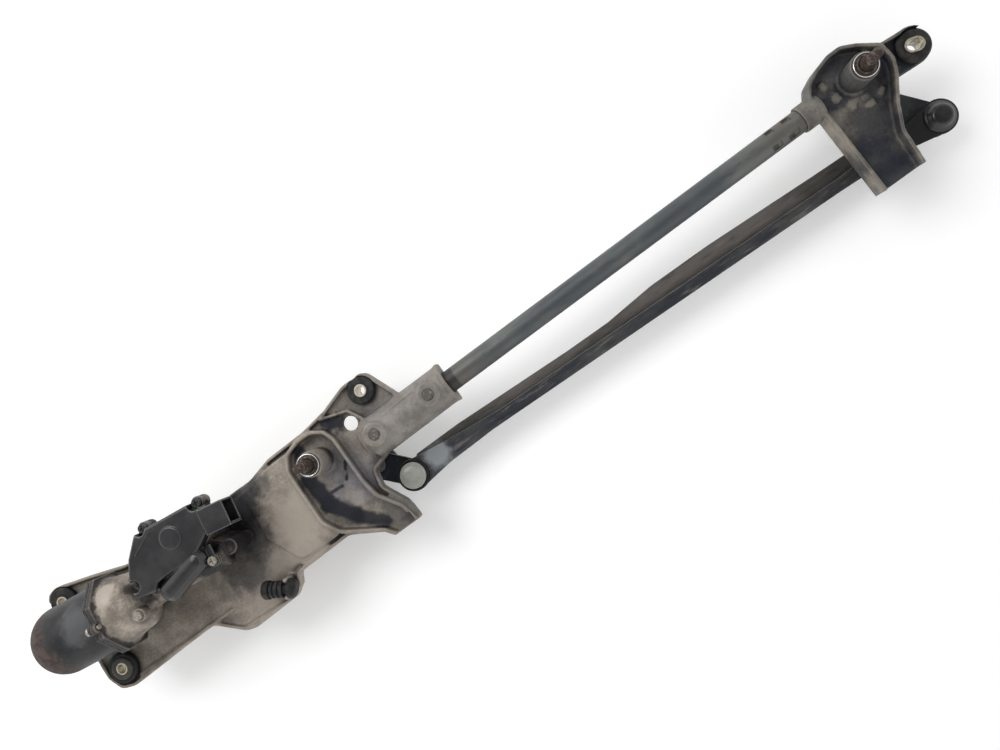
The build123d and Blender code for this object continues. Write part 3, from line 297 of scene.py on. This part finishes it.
def driver_cast():
    return cast_finish(
        "driver_cast",
        linear(163, 154, 143),
        linear(121, 113, 103),
        linear(80, 75, 71),
        linear(24, 26, 35),
        stains=[
            ((-86, 8, -44), 26, 0.8),
            ((-96, -16, -44), 26, 0.7),
            ((-120, -38, -44), 30, 0.65),
            ((-76, 18, -44), 20, 0.7),
            ((-58, 18, -42), 14, 0.5),
            ((32, 19, -44), 13, 0.95),
            ((24, 24, -44), 9, 0.9),
            ((50, -40, -44), 18, 0.6),
            ((46, -12, -40), 14, 0.45),
            ((36, -92, -40), 12, 0.5),
        ],
        # The first four stripes are painted shade along the pocket's inner wall; the last two are thin dark
        # lines on the pocket floor.
        stripes=[
            ((-13, 18, -43), (-20, -8, -43), 8, 0.95),
            ((-20, -8, -43), (-18, -36, -43), 10, 0.97),
            ((-18, -36, -43), (-3, -59, -43), 10, 0.97),
            ((-3, -59, -43), (16, -78, -43), 8, 0.9),
            ((17, -14, -45), (9, -27, -45), 2.4, 0.9),
            ((2, -30, -45), (-10, -29, -45), 2.2, 0.85),
        ],
        # Painted light: paler patches where light falls on the casting.
        shines=[
            ((-47, -30, -40), 32, 0.95),
            ((-60, -60, -42), 26, 0.7),
            ((-100, -66, -44), 40, 0.75),
            ((6, -46, -45), 12, 0.4),
        ],
        tints=[
            ((12, -30, -45), 32, 0.85, linear(138, 135, 140)),
            ((34, -76, -42), 24, 0.7, linear(104, 102, 100)),
            ((92, -12, -34), 52, 0.7, linear(134, 131, 128)),
            ((60, 24, -44), 26, 0.5, linear(112, 109, 106)),
        ],
    )


def passenger_cast():
    return cast_finish(
        "passenger_cast",
        linear(146, 138, 126),
        linear(92, 92, 90),
        linear(58, 60, 64),
        linear(24, 29, 42),
        # The stains along the left wall (x 533 to 545) are the wall's painted shadow on the floor; the
        # others darken the floor to its dark blue.
        stains=[
            ((545, -50, -46), 30, 0.75),
            ((534, -76, -46), 26, 0.7),
            ((536, -94, -46), 20, 0.6),
            ((570, -14, -46), 22, 0.75),
            ((566, -34, -46), 18, 0.6),
            ((533, -16, -46), 14, 0.8),
            ((600, -18, -46), 24, 0.95),
            ((582, -8, -46), 14, 0.9),
        ],
        # Painted light: paler patches on the bracket's left wall.
        shines=[((514, -60, -42), 13, 0.95), ((514, -92, -42), 13, 0.95), ((514, -30, -42), 12, 0.9)],
        marks=[((x, y, -41.6), 4.6, 0.55) for x, y, _ in PADS],
    )


def housing_cast():
    return cast_finish(
        "housing_cast",
        linear(174, 164, 152),
        linear(112, 103, 94),
        linear(62, 57, 53),
        linear(20, 21, 26),
        stains=[
            (motor_point(-69, -19, 4), 8, 0.95),
            (motor_point(-57, -16, -2), 9, 0.8),
            (motor_point(-46, -28, -2), 8, 0.6),
            # The next two stains, under the cover's lower edge, are dark housing together with the cover's
            # painted shade.
            (motor_point(14, -34, -10), 22, 0.85),
            (motor_point(39, -24, -22), 24, 0.95),
            (motor_point(36, 23, -4), 10, 0.95),
            (motor_point(-18, 26, -4), 10, 0.95),
        ],
        # Painted light: a paler patch on the housing by the yoke.
        shines=[(motor_point(-76, -7, 8), 14, 0.9)],
        coat=(motor_point(-89, -26, 0), 8.0),
    )


def sheet_steel(name, main, worn, dark, rough, metallic, shines):
    """Coated sheet or bar steel with rubbed edges, streaks, pale spots of painted sheen and painted shade in
    its corners.
    """
    f = Finish(name)
    streak = f.noise(6, 5, roughness=0.65)
    broad = f.fade(f.noise(35, 3), 0.4, 0.65)
    fine = f.noise(1.3, 3)
    colour = f.over(broad, 0.6, main, dark)
    colour = f.over(f.fade(streak, 0.5, 0.72), 0.55, colour, worn)
    # Painted sheen: shines lay paler tints on the steel.
    for centre, reach, strength, tint in shines:
        colour = f.over(f.spot(centre, reach), strength, colour, tint)
    # Painted shade in corners.
    colour = f.over(f.hollows(6), 0.5, colour, dark)
    colour = f.over(f.edges(0.7), 0.75, colour, worn)
    rough_now = f.maths("ADD", f.maths("MULTIPLY", streak, 0.18), rough - 0.08)
    bumps = [(streak, 0.12), (fine, 0.05)]
    return f.set(colour, rough_now, metallic, bumps, bevel=0.5, Specular_IOR_Level=0.5)


def tube_finish():
    """Dulled zinc on the tube: browner at both ends, with four dark crimps beside the bracket."""
    f = Finish("tube_zinc")
    streak = f.noise(5, 6, stretch=(5, 1, 1), roughness=0.7)
    broad = f.fade(f.noise(50, 4, stretch=(2, 1, 1)), 0.38, 0.62)
    colour = f.mix(broad, linear(76, 81, 84), linear(102, 104, 100))
    colour = f.over(f.fade(streak, 0.46, 0.7), 0.5, colour, linear(62, 64, 65))
    along = f.part_of(0)
    ends = f.maths("ADD", f.fade(along, 0.200, 0.135), f.fade(along, 0.440, 0.500))
    ends = f.maths("MULTIPLY", ends, f.fade(f.noise(9), 0.3, 0.6))
    colour = f.over(ends, 0.6, colour, linear(92, 82, 74))
    band = f.maths("MULTIPLY", f.fade(along, 0.1475, 0.1445), 0.85)
    colour = f.mix(band, colour, linear(46, 44, 44))
    crimp = None
    for x, y in CRIMPS:
        near_x = f.fade(f.maths("ABSOLUTE", f.maths("SUBTRACT", along, x * MM)), 0.0032, 0.0026)
        near_y = f.fade(f.maths("ABSOLUTE", f.maths("SUBTRACT", f.part_of(1), y * MM)), 0.0021, 0.0016)
        here = f.maths("MULTIPLY", f.maths("MULTIPLY", near_x, near_y), f.fade(f.up(), 0.0, 0.2))
        crimp = here if crimp is None else f.maths("MAXIMUM", crimp, here)
    colour = f.over(crimp, 0.85, colour, linear(58, 50, 46))
    rough = f.maths("ADD", f.maths("MULTIPLY", streak, 0.25), 0.34)
    height = f.maths("SUBTRACT", streak, f.maths("MULTIPLY", crimp, 0.8))
    return f.set(colour, rough, 0.45, [(height, 0.12), (f.noise(1.2, 3), 0.05)], Specular_IOR_Level=0.5)


def link_finish():
    """Dark zinc web, a bright rubbed patch at the driver end, and a browner lower flange, with painted shade
    in the step between them and painted highlights along the edges.
    """
    f = Finish("link_zinc")
    streak = f.noise(4, 6, stretch=(7, 1, 1), roughness=0.7)
    broad = f.fade(f.noise(28, 4, stretch=(3, 1, 1)), 0.4, 0.62)
    colour = f.mix(broad, linear(54, 56, 62), linear(78, 78, 78))
    brown = f.mix(broad, linear(112, 107, 103), linear(90, 88, 84))
    colour = f.mix(f.fade(f.part_of(2), -0.0735, -0.0755), colour, brown)
    colour = f.over(f.fade(streak, 0.52, 0.72), 0.6, colour, linear(132, 128, 122))
    colour = f.over(f.fade(streak, 0.46, 0.3), 0.7, colour, linear(34, 34, 38))
    bright = f.spot((84, -56, -70), 17, 0.6)
    colour = f.over(bright, 0.75, colour, linear(158, 162, 165))
    grease = f.maths("MAXIMUM", f.spot((598, -78, -70), 40, 0.2), f.spot((54, -60, -70), 19, 0.15))
    # Painted shade: the dark line in the step under the web's edge.
    colour = f.over(f.hollows(9, 0.35), 0.6, colour, linear(22, 22, 26))
    # Painted highlight along the edges.
    colour = f.over(f.edges(1.1), 0.75, colour, linear(150, 147, 142))
    colour = f.over(grease, 0.95, colour, linear(13, 13, 17))
    metal = f.maths("SUBTRACT", 0.5, f.maths("MULTIPLY", grease, 0.5))
    dry = f.maths("ADD", f.maths("MULTIPLY", streak, 0.2), 0.38)
    rough = f.maths("SUBTRACT", dry, f.maths("MULTIPLY", grease, 0.1))
    return f.set(colour, rough, metal, [(streak, 0.15)], bevel=0.5, Specular_IOR_Level=0.35)


def rubber_finish(name, tone=(17, 17, 20), dust=0.25):
    """Matt rubber with patches of dust."""
    f = Finish(name)
    grain = f.noise(1.6, 4)
    dusty = f.maths("MULTIPLY", f.fade(f.noise(9, 5), 0.42, 0.7), dust)
    colour = f.mix(dusty, linear(*tone), linear(98, 92, 84))
    colour = f.over(f.edges(0.6), 0.35, colour, linear(92, 90, 88))
    rough = f.maths("ADD", f.maths("MULTIPLY", grain, 0.2), 0.55)
    return f.set(colour, rough, 0.0, [(grain, 0.08)], bevel=0.6, Specular_IOR_Level=0.35)


def machined_finish(name, bright, rust, share, rough=0.3, metallic=0.9, bevel=0.25):
    """Machined steel with a share of rust or grime."""
    f = Finish(name)
    cloud = f.noise(3.5, 6, roughness=0.75)
    fine = f.noise(0.9, 4)
    rusty = f.fade(cloud, 0.62 - share * 0.4, 0.78 - share * 0.4)
    colour = f.mix(rusty, bright, rust)
    colour = f.over(f.fade(fine, 0.5, 0.75), 0.4, colour, rust)
    rough_now = f.maths("ADD", f.maths("MULTIPLY", rusty, 0.35), rough)
    metal_now = f.maths("SUBTRACT", metallic, f.maths("MULTIPLY", rusty, metallic * 0.7))
    return f.set(colour, rough_now, metal_now, [(fine, 0.05)], bevel=bevel)


def screw_finish():
    """Zinc screws of the cover; three of them are painted over."""
    f = Finish("cover_screw_zinc")
    cloud = f.fade(f.noise(3, 6, roughness=0.75), 0.4, 0.65)
    colour = f.mix(cloud, linear(176, 172, 160), linear(104, 94, 80))
    painted = f.spot(motor_point(-45, -15, 8), 11, 0.1)
    for along, across in COVER_LUGS:
        painted = f.maths("MAXIMUM", painted, f.spot(motor_point(along, across, 10), 11, 0.1))
    colour = f.over(painted, 0.95, colour, linear(24, 24, 26))
    metal = f.maths("SUBTRACT", 0.6, f.maths("MULTIPLY", painted, 0.6))
    return f.set(colour, f.maths("ADD", f.maths("MULTIPLY", cloud, 0.3), 0.35), metal, bevel=0.3)


def nylon_finish(name, tone, shade, grease=0.0):
    """Moulded nylon, slightly waxy, with painted shade in its hollows."""
    f = Finish(name)
    cloud = f.fade(f.noise(7, 4), 0.35, 0.7)
    colour = f.mix(cloud, linear(*tone), linear(*shade))
    # Painted shade in the hollows; the grease share makes it deeper.
    colour = f.over(f.hollows(3), 0.6 + grease * 0.3, colour, linear(30, 29, 28))
    return f.set(
        colour,
        f.maths("ADD", f.maths("MULTIPLY", cloud, 0.15), 0.28),
        0.0,
        [(f.noise(2.5, 3), 0.06)],
        bevel=0.5,
        Coat_Weight=0.25,
        Coat_Roughness=0.2,
        Specular_IOR_Level=0.5,
    )


def yoke_finish():
    """Satin black paint on the motor's can: a painted highlight on top, painted shade along its lower side,
    rusty at the domed end.
    """
    f = Finish("yoke_paint")
    cloud = f.noise(12, 6, roughness=0.7)
    fine = f.noise(1.4, 4)
    colour = f.mix(f.fade(cloud, 0.35, 0.65), linear(24, 25, 27), linear(42, 42, 44))
    # Painted highlight on top of the can.
    pale = f.spot((-240, 6, 16), 20, 0.6)
    colour = f.over(pale, 0.75, colour, linear(86, 87, 88))
    dome = f.maths("ADD", f.part_of(0), f.maths("MULTIPLY", cloud, 0.020))
    rusty = f.fade(dome, -0.257, -0.268)
    brown = f.mix(f.fade(f.noise(6, 6, roughness=0.75), 0.35, 0.65), linear(88, 74, 68), linear(56, 48, 46))
    colour = f.over(rusty, 0.85, colour, brown)
    # Painted shade: darker towards the bottom of the can.
    low = f.fade(f.part_of(2), -0.012, -0.036)
    colour = f.over(low, 0.6, colour, linear(26, 26, 28))
    chips = f.fade(f.noise(4.5, 5, stretch=(3, 1, 1), roughness=0.8), 0.72, 0.78)
    colour = f.over(chips, 0.8, colour, linear(170, 166, 158))
    colour = f.over(f.edges(0.6), 0.7, colour, linear(150, 146, 138))
    satin = f.maths("ADD", f.maths("MULTIPLY", fine, 0.12), 0.4)
    rough = f.maths("ADD", f.maths("MULTIPLY", rusty, 0.25), satin)
    return f.set(colour, rough, 0.0, [(cloud, 0.1), (fine, 0.05)], bevel=0.5, Specular_IOR_Level=0.28)


def cover_finish():
    """Charcoal moulded plastic with a slight grain, painted shade in its corners and painted highlights on
    its ridges.
    """
    f = Finish("cover_plastic")
    grain = f.noise(0.9, 3)
    cloud = f.fade(f.noise(18, 5), 0.35, 0.7)
    colour = f.mix(cloud, linear(24, 24, 27), linear(37, 37, 39))
    # Painted shade in corners.
    colour = f.over(f.hollows(5), 0.6, colour, linear(12, 12, 16))
    # Painted highlights along the ridges.
    colour = f.over(f.ridges(0.51, 0.57), 0.6, colour, linear(134, 134, 134))
    rough = f.maths("ADD", f.maths("MULTIPLY", cloud, 0.15), 0.3)
    coat = {"Coat_Weight": 0.3, "Coat_Roughness": 0.18}
    return f.set(colour, rough, 0.0, [(grain, 0.04)], Specular_IOR_Level=0.4, **coat)


def plain_finish(name, tone, rough=0.5, metallic=0.0):
    """Inner piece: one tone with a soft mottle."""
    f = Finish(name)
    cloud = f.noise(4, 4)
    shade = linear(*[c * 0.7 for c in tone])
    colour = f.mix(f.fade(cloud, 0.35, 0.7), linear(*tone), shade)
    rough_now = f.maths("ADD", f.maths("MULTIPLY", cloud, 0.1), rough)
    return f.set(colour, rough_now, metallic, [(cloud, 0.04)], bevel=0.2)


FINISHES = {
    "cast_grey": driver_cast(),
    "tube_zinc": tube_finish(),
    "rivet_steel": machined_finish("rivet_steel", linear(128, 126, 122), linear(86, 80, 74), 0.6, 0.45, 0.5),
    "bush_bronze": plain_finish("bush_bronze", (150, 120, 80), 0.4, 0.8),
    "grommet_rubber": rubber_finish("grommet_rubber"),
    "sleeve_steel": machined_finish("sleeve_steel", linear(196, 190, 172), linear(130, 118, 98), 0.3),
    "spindle_steel": machined_finish(
        "spindle_steel", linear(112, 100, 92), linear(50, 38, 33), 0.6, 0.35, 0.75, 0.0
    ),
    "ring_chrome": machined_finish("ring_chrome", linear(96, 88, 82), linear(52, 46, 42), 0.4, 0.35, 0.6),
    "lever_steel": sheet_steel(
        "lever_steel", linear(18, 20, 28), linear(70, 74, 78), linear(9, 10, 14), 0.4, 0.15,
        # Painted sheen on the two levers.
        shines=[
            ((40, -48, -80), 18, 0.4, linear(60, 68, 78)),
            ((584, -48, -80), 20, 0.3, linear(70, 76, 78)),
        ],
    ),
    "ball_steel": machined_finish("ball_steel", linear(200, 200, 198), linear(90, 80, 66), 0.2, 0.15, 1.0),
    "link_steel": link_finish(),
    "cup_nylon": nylon_finish("cup_nylon", (176, 180, 168), (140, 143, 130)),
    "cup_nylon_black": nylon_finish("cup_nylon_black", (6, 6, 7), (14, 14, 15)),
    "seal_rubber": rubber_finish("seal_rubber", (52, 45, 38), 0.5),
    "yoke_paint": yoke_finish(),
    "magnet_ferrite": plain_finish("magnet_ferrite", (48, 48, 50), 0.7),
    "housing_cast": housing_cast(),
    "cover_plastic": cover_finish(),
    "screw_zinc": machined_finish("screw_zinc", linear(186, 180, 166), linear(108, 96, 80), 0.45, 0.35, 0.7),
    "contact_tin": machined_finish("contact_tin", linear(210, 206, 190), linear(130, 120, 100), 0.2),
    "board_fibre": plain_finish("board_fibre", (38, 88, 46), 0.5),
    "brush_plate": plain_finish("brush_plate", (96, 62, 40), 0.6),
    "brush_carbon": plain_finish("brush_carbon", (46, 42, 40), 0.6),
    "shaft_steel": machined_finish("shaft_steel", linear(190, 190, 190), linear(110, 100, 92), 0.2),
    "core_steel": plain_finish("core_steel", (110, 110, 112), 0.4, 0.8),
    "copper": plain_finish("copper", (186, 108, 70), 0.35, 0.9),
    "gear_nylon": nylon_finish("gear_nylon", (216, 210, 190), (190, 182, 160)),
}
BRACKET_FINISH = passenger_cast()
CAP_FINISH = nylon_finish("cup_nylon_cap", (156, 158, 150), (140, 142, 134), 0.3)
RIM_FINISH = rubber_finish("cup_rim", (18, 18, 20), 0.15)
BRIGHT_RING = machined_finish("bright_ring", linear(226, 226, 224), linear(150, 142, 134), 0.1, 0.14, 1.0)
DUSTY_RUBBER = rubber_finish("dusty_rubber", (62, 61, 58), 0.6)

OWN_FINISH = {"passenger_casting": BRACKET_FINISH, "cover_screws": screw_finish()}

for name, node in NODES.items():
    node.data.materials.clear()
    node.data.materials.append(OWN_FINISH.get(name) or FINISHES[SLOT_OF[name]])


# ---------------------------------------------------------------- pieces
def add_piece(name, data, body, material, replaces=()):
    """Put a mesh that is in the row frame into the scene as a piece of one body."""
    piece = bpy.data.objects.new(name, data)
    bpy.context.scene.collection.objects.link(piece)
    data.materials.clear()
    data.materials.append(material)
    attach(piece, body)
    if replaces:
        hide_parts(*replaces)
    return piece


def block(form, centre, size, turn=0.0):
    """Add a box to a bmesh; the turn is about +Z, in degrees."""
    place = Matrix.Translation(Vector(centre) * MM) @ Matrix.Rotation(math.radians(turn), 4, "Z")
    bmesh.ops.create_cube(form, size=1.0, matrix=place @ Matrix.Diagonal((*[s * MM for s in size], 1.0)))


def disc(form, centre, radius, height, top_radius=None):
    """Add an upright cylinder or cone to a bmesh, standing on its centre."""
    bmesh.ops.create_cone(
        form,
        cap_ends=True,
        segments=DISC_SEGMENTS,
        radius1=radius * MM,
        radius2=(radius if top_radius is None else top_radius) * MM,
        depth=height * MM,
        matrix=Matrix.Translation(Vector((centre[0], centre[1], centre[2] + height / 2)) * MM),
    )


def bar(form, start, end, radius, segments=16):
    """Add a round bar between two points to a bmesh."""
    start, end = Vector(start) * MM, Vector(end) * MM
    turn = (end - start).to_track_quat("Z", "Y").to_matrix().to_4x4()
    bmesh.ops.create_cone(
        form,
        cap_ends=True,
        segments=segments,
        radius1=radius * MM,
        radius2=radius * MM,
        depth=(end - start).length,
        matrix=Matrix.Translation((start + end) / 2) @ turn,
    )
    for point in (start, end):
        bmesh.ops.create_uvsphere(
            form, u_segments=segments, v_segments=8, radius=radius * MM, matrix=Matrix.Translation(point)
        )


def rounded(name, node, details, voxel, passes, material):
    """Cast or moulded skin over a CAD node: its shape and the details as one rounded surface."""
    form = bmesh.new()
    form.from_mesh(NODES[node].data)
    bmesh.ops.remove_doubles(form, verts=form.verts, dist=1e-6)
    details(form)
    data = bpy.data.meshes.new(name)
    form.to_mesh(data)
    form.free()
    source = bpy.data.objects.new(name + "_source", data)
    bpy.context.scene.collection.objects.link(source)
    remesh = source.modifiers.new("remesh", "REMESH")
    remesh.mode = "VOXEL"
    remesh.voxel_size = voxel * MM
    remesh.use_smooth_shade = True
    smooth = source.modifiers.new("smooth", "SMOOTH")
    smooth.factor = 0.5
    smooth.iterations = passes
    bpy.context.view_layer.update()
    skin = bpy.data.meshes.new_from_object(source.evaluated_get(bpy.context.evaluated_depsgraph_get()))
    bpy.data.objects.remove(source)
    low, high = cad_box
    for vertex in skin.vertices:
        for axis in range(3):
            vertex.co[axis] = min(max(vertex.co[axis], low[axis]), high[axis])
    return add_piece(name, skin, "frame", material, [node])


def turned(name, profile, place, body, material, replaces=(), segments=96, ripple=None):
    """Piece turned about an upright axis; profile is (radius, height) pairs, closed on itself.

    Ripple(angle, height) scales the radius, for knurls and threads."""
    vertices, faces = [], []
    count = len(profile)
    for step in range(segments):
        angle = 2 * math.pi * step / segments
        for radius, height in profile:
            if ripple:
                radius *= ripple(angle, height)
            x = place[0] + radius * math.cos(angle)
            y = place[1] + radius * math.sin(angle)
            vertices.append((x * MM, y * MM, height * MM))
    for step in range(segments):
        here, there = step * count, (step + 1) % segments * count
        for k in range(count - 1):
            faces.append((here + k, there + k, there + k + 1, here + k + 1))
    data = bpy.data.meshes.new(name)
    data.from_pydata(vertices, [], faces)
    form = bmesh.new()
    form.from_mesh(data)
    bmesh.ops.remove_doubles(form, verts=form.verts, dist=1e-7)
    bmesh.ops.recalc_face_normals(form, faces=form.faces)
    form.to_mesh(data)
    form.free()
    data.shade_smooth()
    return add_piece(name, data, body, material, replaces)


# castings
def driver_details(form):
    """Bosses, ribs and steps of the driver casting that are too soft in outline for the plan."""
    high_rim = [(-78, 18), (-40, 23), (-36, 8), (-36, -46), (-34, -60), (-62, -60)]
    low_rim = [(-102, 21), (-40, 25), (-106, -30), (-88, -66), (-34, -67)]
    slope = [(x, y, STEP_TOP) for x, y in high_rim] + [(x, y, STEP_FOOT) for x, y in low_rim]
    corners = [form.verts.new(Vector(point) * MM) for point in slope]
    bmesh.ops.convex_hull(form, input=corners)
    for x in (58.9, 117.9):
        disc(form, (x, -11.6, -33), 11, 5.2, 10.2)
    bar(form, (72, -1.5, -31.9), (106, -0.5, -32.2), 1.4)
    bar(form, (92, 3.5, -41.5), (60, 4.5, -42), 2.2)
    bar(form, (22, 29.5, -42.5), (47, 21.5, -42.5), 1.6)
    bar(form, (47, 21.5, -42.5), (54, 8, -42), 1.8)
    bar(form, (-150, -62, -45.4), (-262, -60, -45.4), 2.0)
    bar(form, (-88, 19, -45), (-60, 18, -43.5), 2.4)
    bar(form, (-70, -64, -45), (-40, -64, -44), 2.2)
    bar(form, (-150, -82, -45.2), (-104, -84.5, -45.2), 1.8)


def passenger_details(form):
    """Pads and a rib on the bracket's floor."""
    for x, y, turn in PADS:
        block(form, (x, y, -43.0), (8.6, 5.2, 2.8), turn)
    bar(form, (560, -60, -46), (556, -98, -46), 2.2)


rounded("cast_frame", "driver_casting", driver_details, 1.15, 4, FINISHES["cast_grey"])
rounded("cast_bracket", "passenger_casting", passenger_details, 0.9, 4, BRACKET_FINISH)

# motor
def housing_details(form):
    """Webs and bosses on the gear housing."""
    for along, across in COVER_LUGS:
        disc(form, motor_point(along, across, -9), 5.2, 9)
    bar(form, motor_point(-40, -18, -6), motor_point(-66, -8, 0), 3.0)
    bar(form, motor_point(-44, -34, -4), motor_point(-70, -44, -2), 3.0)
    bar(form, motor_point(24, -26, -12), motor_point(38, -23, -14), 3.4)


def cover_details(form):
    """Raised disc, ribs and steps of the gear cover."""
    disc(form, motor_point(5, 7, 11.0), 9.5, 1.5)
    bar(form, motor_point(-19.4, -32, 4.5), motor_point(13.4, -20, 4.5), 9.0, segments=40)
    bar(form, motor_point(-30, 8, 11.6), motor_point(-10, 20, 11.6), 0.7)
    bar(form, motor_point(-41, -19, 3), motor_point(-30, -25, 3.5), 2.6)
    bar(form, motor_point(-47, -22, 1), motor_point(-38, -27, 1.5), 2.6)
    bar(form, motor_point(-4, -14.5, 11.2), motor_point(30, -2, 11.2), 0.9)


rounded("motor_body", "gear_housing", housing_details, 0.9, 3, FINISHES["housing_cast"])
rounded("motor_cover", "gear_cover", cover_details, 0.55, 2, FINISHES["cover_plastic"])


# spindles
def thread_and_knurl(angle, height):
    """Radius scale along a spindle: thread above the origin, knurl on the taper under it."""
    if 0.6 < height < 12.2:
        turn = (height / 1.25 + angle / (2 * math.pi)) % 1.0
        return 1.0 - 0.13 * abs(2 * turn - 1)
    if -11.6 < height < -0.6:
        tooth = (angle * 44 / (2 * math.pi)) % 1.0
        return 1.0 - 0.075 * abs(2 * tooth - 1)
    return 1.0


for side, place in (("driver", DRIVER), ("passenger", PASSENGER)):
    low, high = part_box(side + "_spindle")
    foot, tip = low.z / MM, high.z / MM
    profile = [(0.0, foot), (5.3, foot), (6.0, foot + 0.7), (6.0, -12.0)]
    profile += [(6.0 - 0.8 * k / 12, -12.0 + k) for k in range(1, 12)]
    profile += [(5.2, -0.4), (4.1, 0.0)]
    profile += [(4.0, 0.3 + 0.25 * k) for k in range(48)]
    profile += [(3.6, tip - 0.5), (2.6, tip), (0.0, tip)]
    turned(
        side + "_spindle_bar",
        profile,
        place,
        side + "_pivot",
        FINISHES["spindle_steel"],
        [side + "_spindle"],
        segments=176,
        ripple=thread_and_knurl,
    )

# bright lip of each barrel's cap ring
for side, place in (("driver", DRIVER), ("passenger", PASSENGER)):
    low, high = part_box(side + "_cap_ring")
    top = high.z / MM
    turns = [math.radians(a) for a in range(0, 361, 30)]
    section = [(9.4 + 0.6 * math.cos(turn), top + 0.6 * math.sin(turn)) for turn in turns]
    turned(side + "_cap_lip", section, place, side + "_pivot", BRIGHT_RING)
    collar = [(6.05, top), (7.6, top), (7.6, top + 1.4), (7.0, top + 1.9), (6.05, top + 1.9), (6.05, top)]
    turned(side + "_collar", collar, place, side + "_pivot", FINISHES["spindle_steel"])

# dusty inner face of the lower grommet
low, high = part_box("grommet_lower")
top = high.z / MM
face = [(5.75, -0.4), (10.6, -0.4), (10.4, 0.7), (9.8, 1.0), (6.2, 1.0), (5.75, 0.7), (5.75, -0.4)]
turned(
    "grommet_face",
    [(radius, top + rise) for radius, rise in face],
    LOWER_GROMMET,
    "frame",
    DUSTY_RUBBER,
)

# nylon cups of the long link: outside, seat round the ball, and back to the mouth
def cup(outside, seat_radius, last_angle, mouth, level):
    """Closed section of a ball cup; heights are from the ball's centre."""
    seat = [
        (seat_radius * math.sin(math.radians(a)), seat_radius * math.cos(math.radians(a)))
        for a in range(10, last_angle, 9)
    ]
    return [(radius, level + rise) for radius, rise in [*outside, *seat, mouth]]


CAP_MOUTH = (5.9, -5.4)
CAP_OUTSIDE = [
    CAP_MOUTH, (12.3, -5.4), (12.3, 6.2), (11.6, 7.4), (10.6, 7.9), (9.9, 7.6),
    (9.3, 7.6), (8.0, 8.1), (5.0, 8.4), (0.0, 8.5), (0.0, 7.3),
]
CAP_RING = [(12.45, 2.6), (14.6, 2.6), (14.9, 3.4), (14.3, 4.3), (12.45, 4.5), (12.45, 2.6)]
DOME_MOUTH = (6.8, -5.3)
DOME_OUTSIDE = [
    DOME_MOUTH, (12.3, -5.3), (12.3, 2.2), (13.6, 2.6), (13.3, 3.3), (11.6, 3.9), (10.4, 5.2),
    (9.6, 7.4), (8.6, 8.8), (7.0, 9.6), (5.7, 9.7), (0.0, 9.7), (0.0, 9.0),
]

*ball, level = LINK_BALL_DRIVER
section = cup(CAP_OUTSIDE, 7.3, 128, CAP_MOUTH, level)
turned("link_cap_driver", section, ball, "link", CAP_FINISH, ["link_socket_driver"])
ring = [(radius, level + rise) for radius, rise in CAP_RING]
turned("link_cap_ring", ring, ball, "link", RIM_FINISH)
*ball, level = LINK_BALL_PASSENGER
section = cup(DOME_OUTSIDE, 8.9, 126, DOME_MOUTH, level)
dome_finish = FINISHES["cup_nylon_black"]
turned("link_dome", section, ball, "link", dome_finish, ["link_socket_passenger"])


# ---------------------------------------------------------------- floor and light
def add_floor():
    """Large pale floor just under the assembly."""
    form = bmesh.new()
    bmesh.ops.create_grid(form, x_segments=1, y_segments=1, size=FLOOR_SIZE)
    data = bpy.data.meshes.new("floor")
    form.to_mesh(data)
    form.free()
    floor = bpy.data.objects.new("floor", data)
    floor.location = (0.2, 0.0, cad_box[0].z - FLOOR_GAP)
    bpy.context.scene.collection.objects.link(floor)
    f = Finish("floor_paper")
    cloud = f.fade(f.noise(400, 2), 0.3, 0.7)
    pale = f.mix(cloud, (0.93, 0.93, 0.93, 1), (0.95, 0.95, 0.95, 1))
    glow = {"Emission_Color": (1, 1, 1, 1), "Emission_Strength": FLOOR_GLOW}
    data.materials.append(f.set(pale, 0.9, **glow))


def add_light(name, place, target, size, power):
    """Square soft box that looks at a target."""
    data = bpy.data.lights.new(name, "AREA")
    data.size = size
    data.energy = power
    light = bpy.data.objects.new(name, data)
    place, target = Vector(place), Vector(target)
    aim = (target - place).to_track_quat("-Z", "Y").to_matrix().to_4x4()
    light.matrix_world = Matrix.Translation(place) @ aim
    bpy.context.scene.collection.objects.link(light)


def add_world(strength, overhead):
    """White surroundings, dimmer straight overhead."""
    world = bpy.data.worlds.new("world")
    bpy.context.scene.world = world
    world.use_nodes = True
    background = world.node_tree.nodes["Background"]
    background.inputs["Color"].default_value = (1.0, 1.0, 1.0, 1.0)
    tree = world.node_tree
    height = tree.nodes.new("ShaderNodeSeparateXYZ")
    tree.links.new(tree.nodes.new("ShaderNodeTexCoord").outputs["Generated"], height.inputs[0])
    level = tree.nodes.new("ShaderNodeMapRange")
    level.interpolation_type = "SMOOTHSTEP"
    for socket, value in (("From Min", 0.6), ("From Max", 0.92), ("To Min", strength), ("To Max", overhead)):
        level.inputs[socket].default_value = value
    tree.links.new(height.outputs[2], level.inputs["Value"])
    tree.links.new(level.outputs["Result"], background.inputs["Strength"])


def add_camera():
    """Camera that looks down on the assembly, rolled so that the tube rises to the right."""
    back = (CAMERA_PLACE - CAMERA_TARGET).normalized()
    right = CAMERA_UP.cross(back).normalized()
    up = back.cross(right)
    camera = bpy.data.objects.new("camera", bpy.data.cameras.new("camera"))
    camera.data.lens = CAMERA_LENS
    camera.data.clip_start = 0.01
    camera.data.clip_end = 20.0
    camera.matrix_world = Matrix.Translation(CAMERA_PLACE) @ Matrix((right, up, back)).transposed().to_4x4()
    bpy.context.scene.collection.objects.link(camera)
    bpy.context.scene.camera = camera


add_floor()
add_light("key", (-0.35, 0.9, 1.2), (0.15, 0.0, 0.0), 0.9, 12.0)
add_world(1.12, 0.3)
add_camera()
bpy.context.scene.view_settings.view_transform = "Standard"
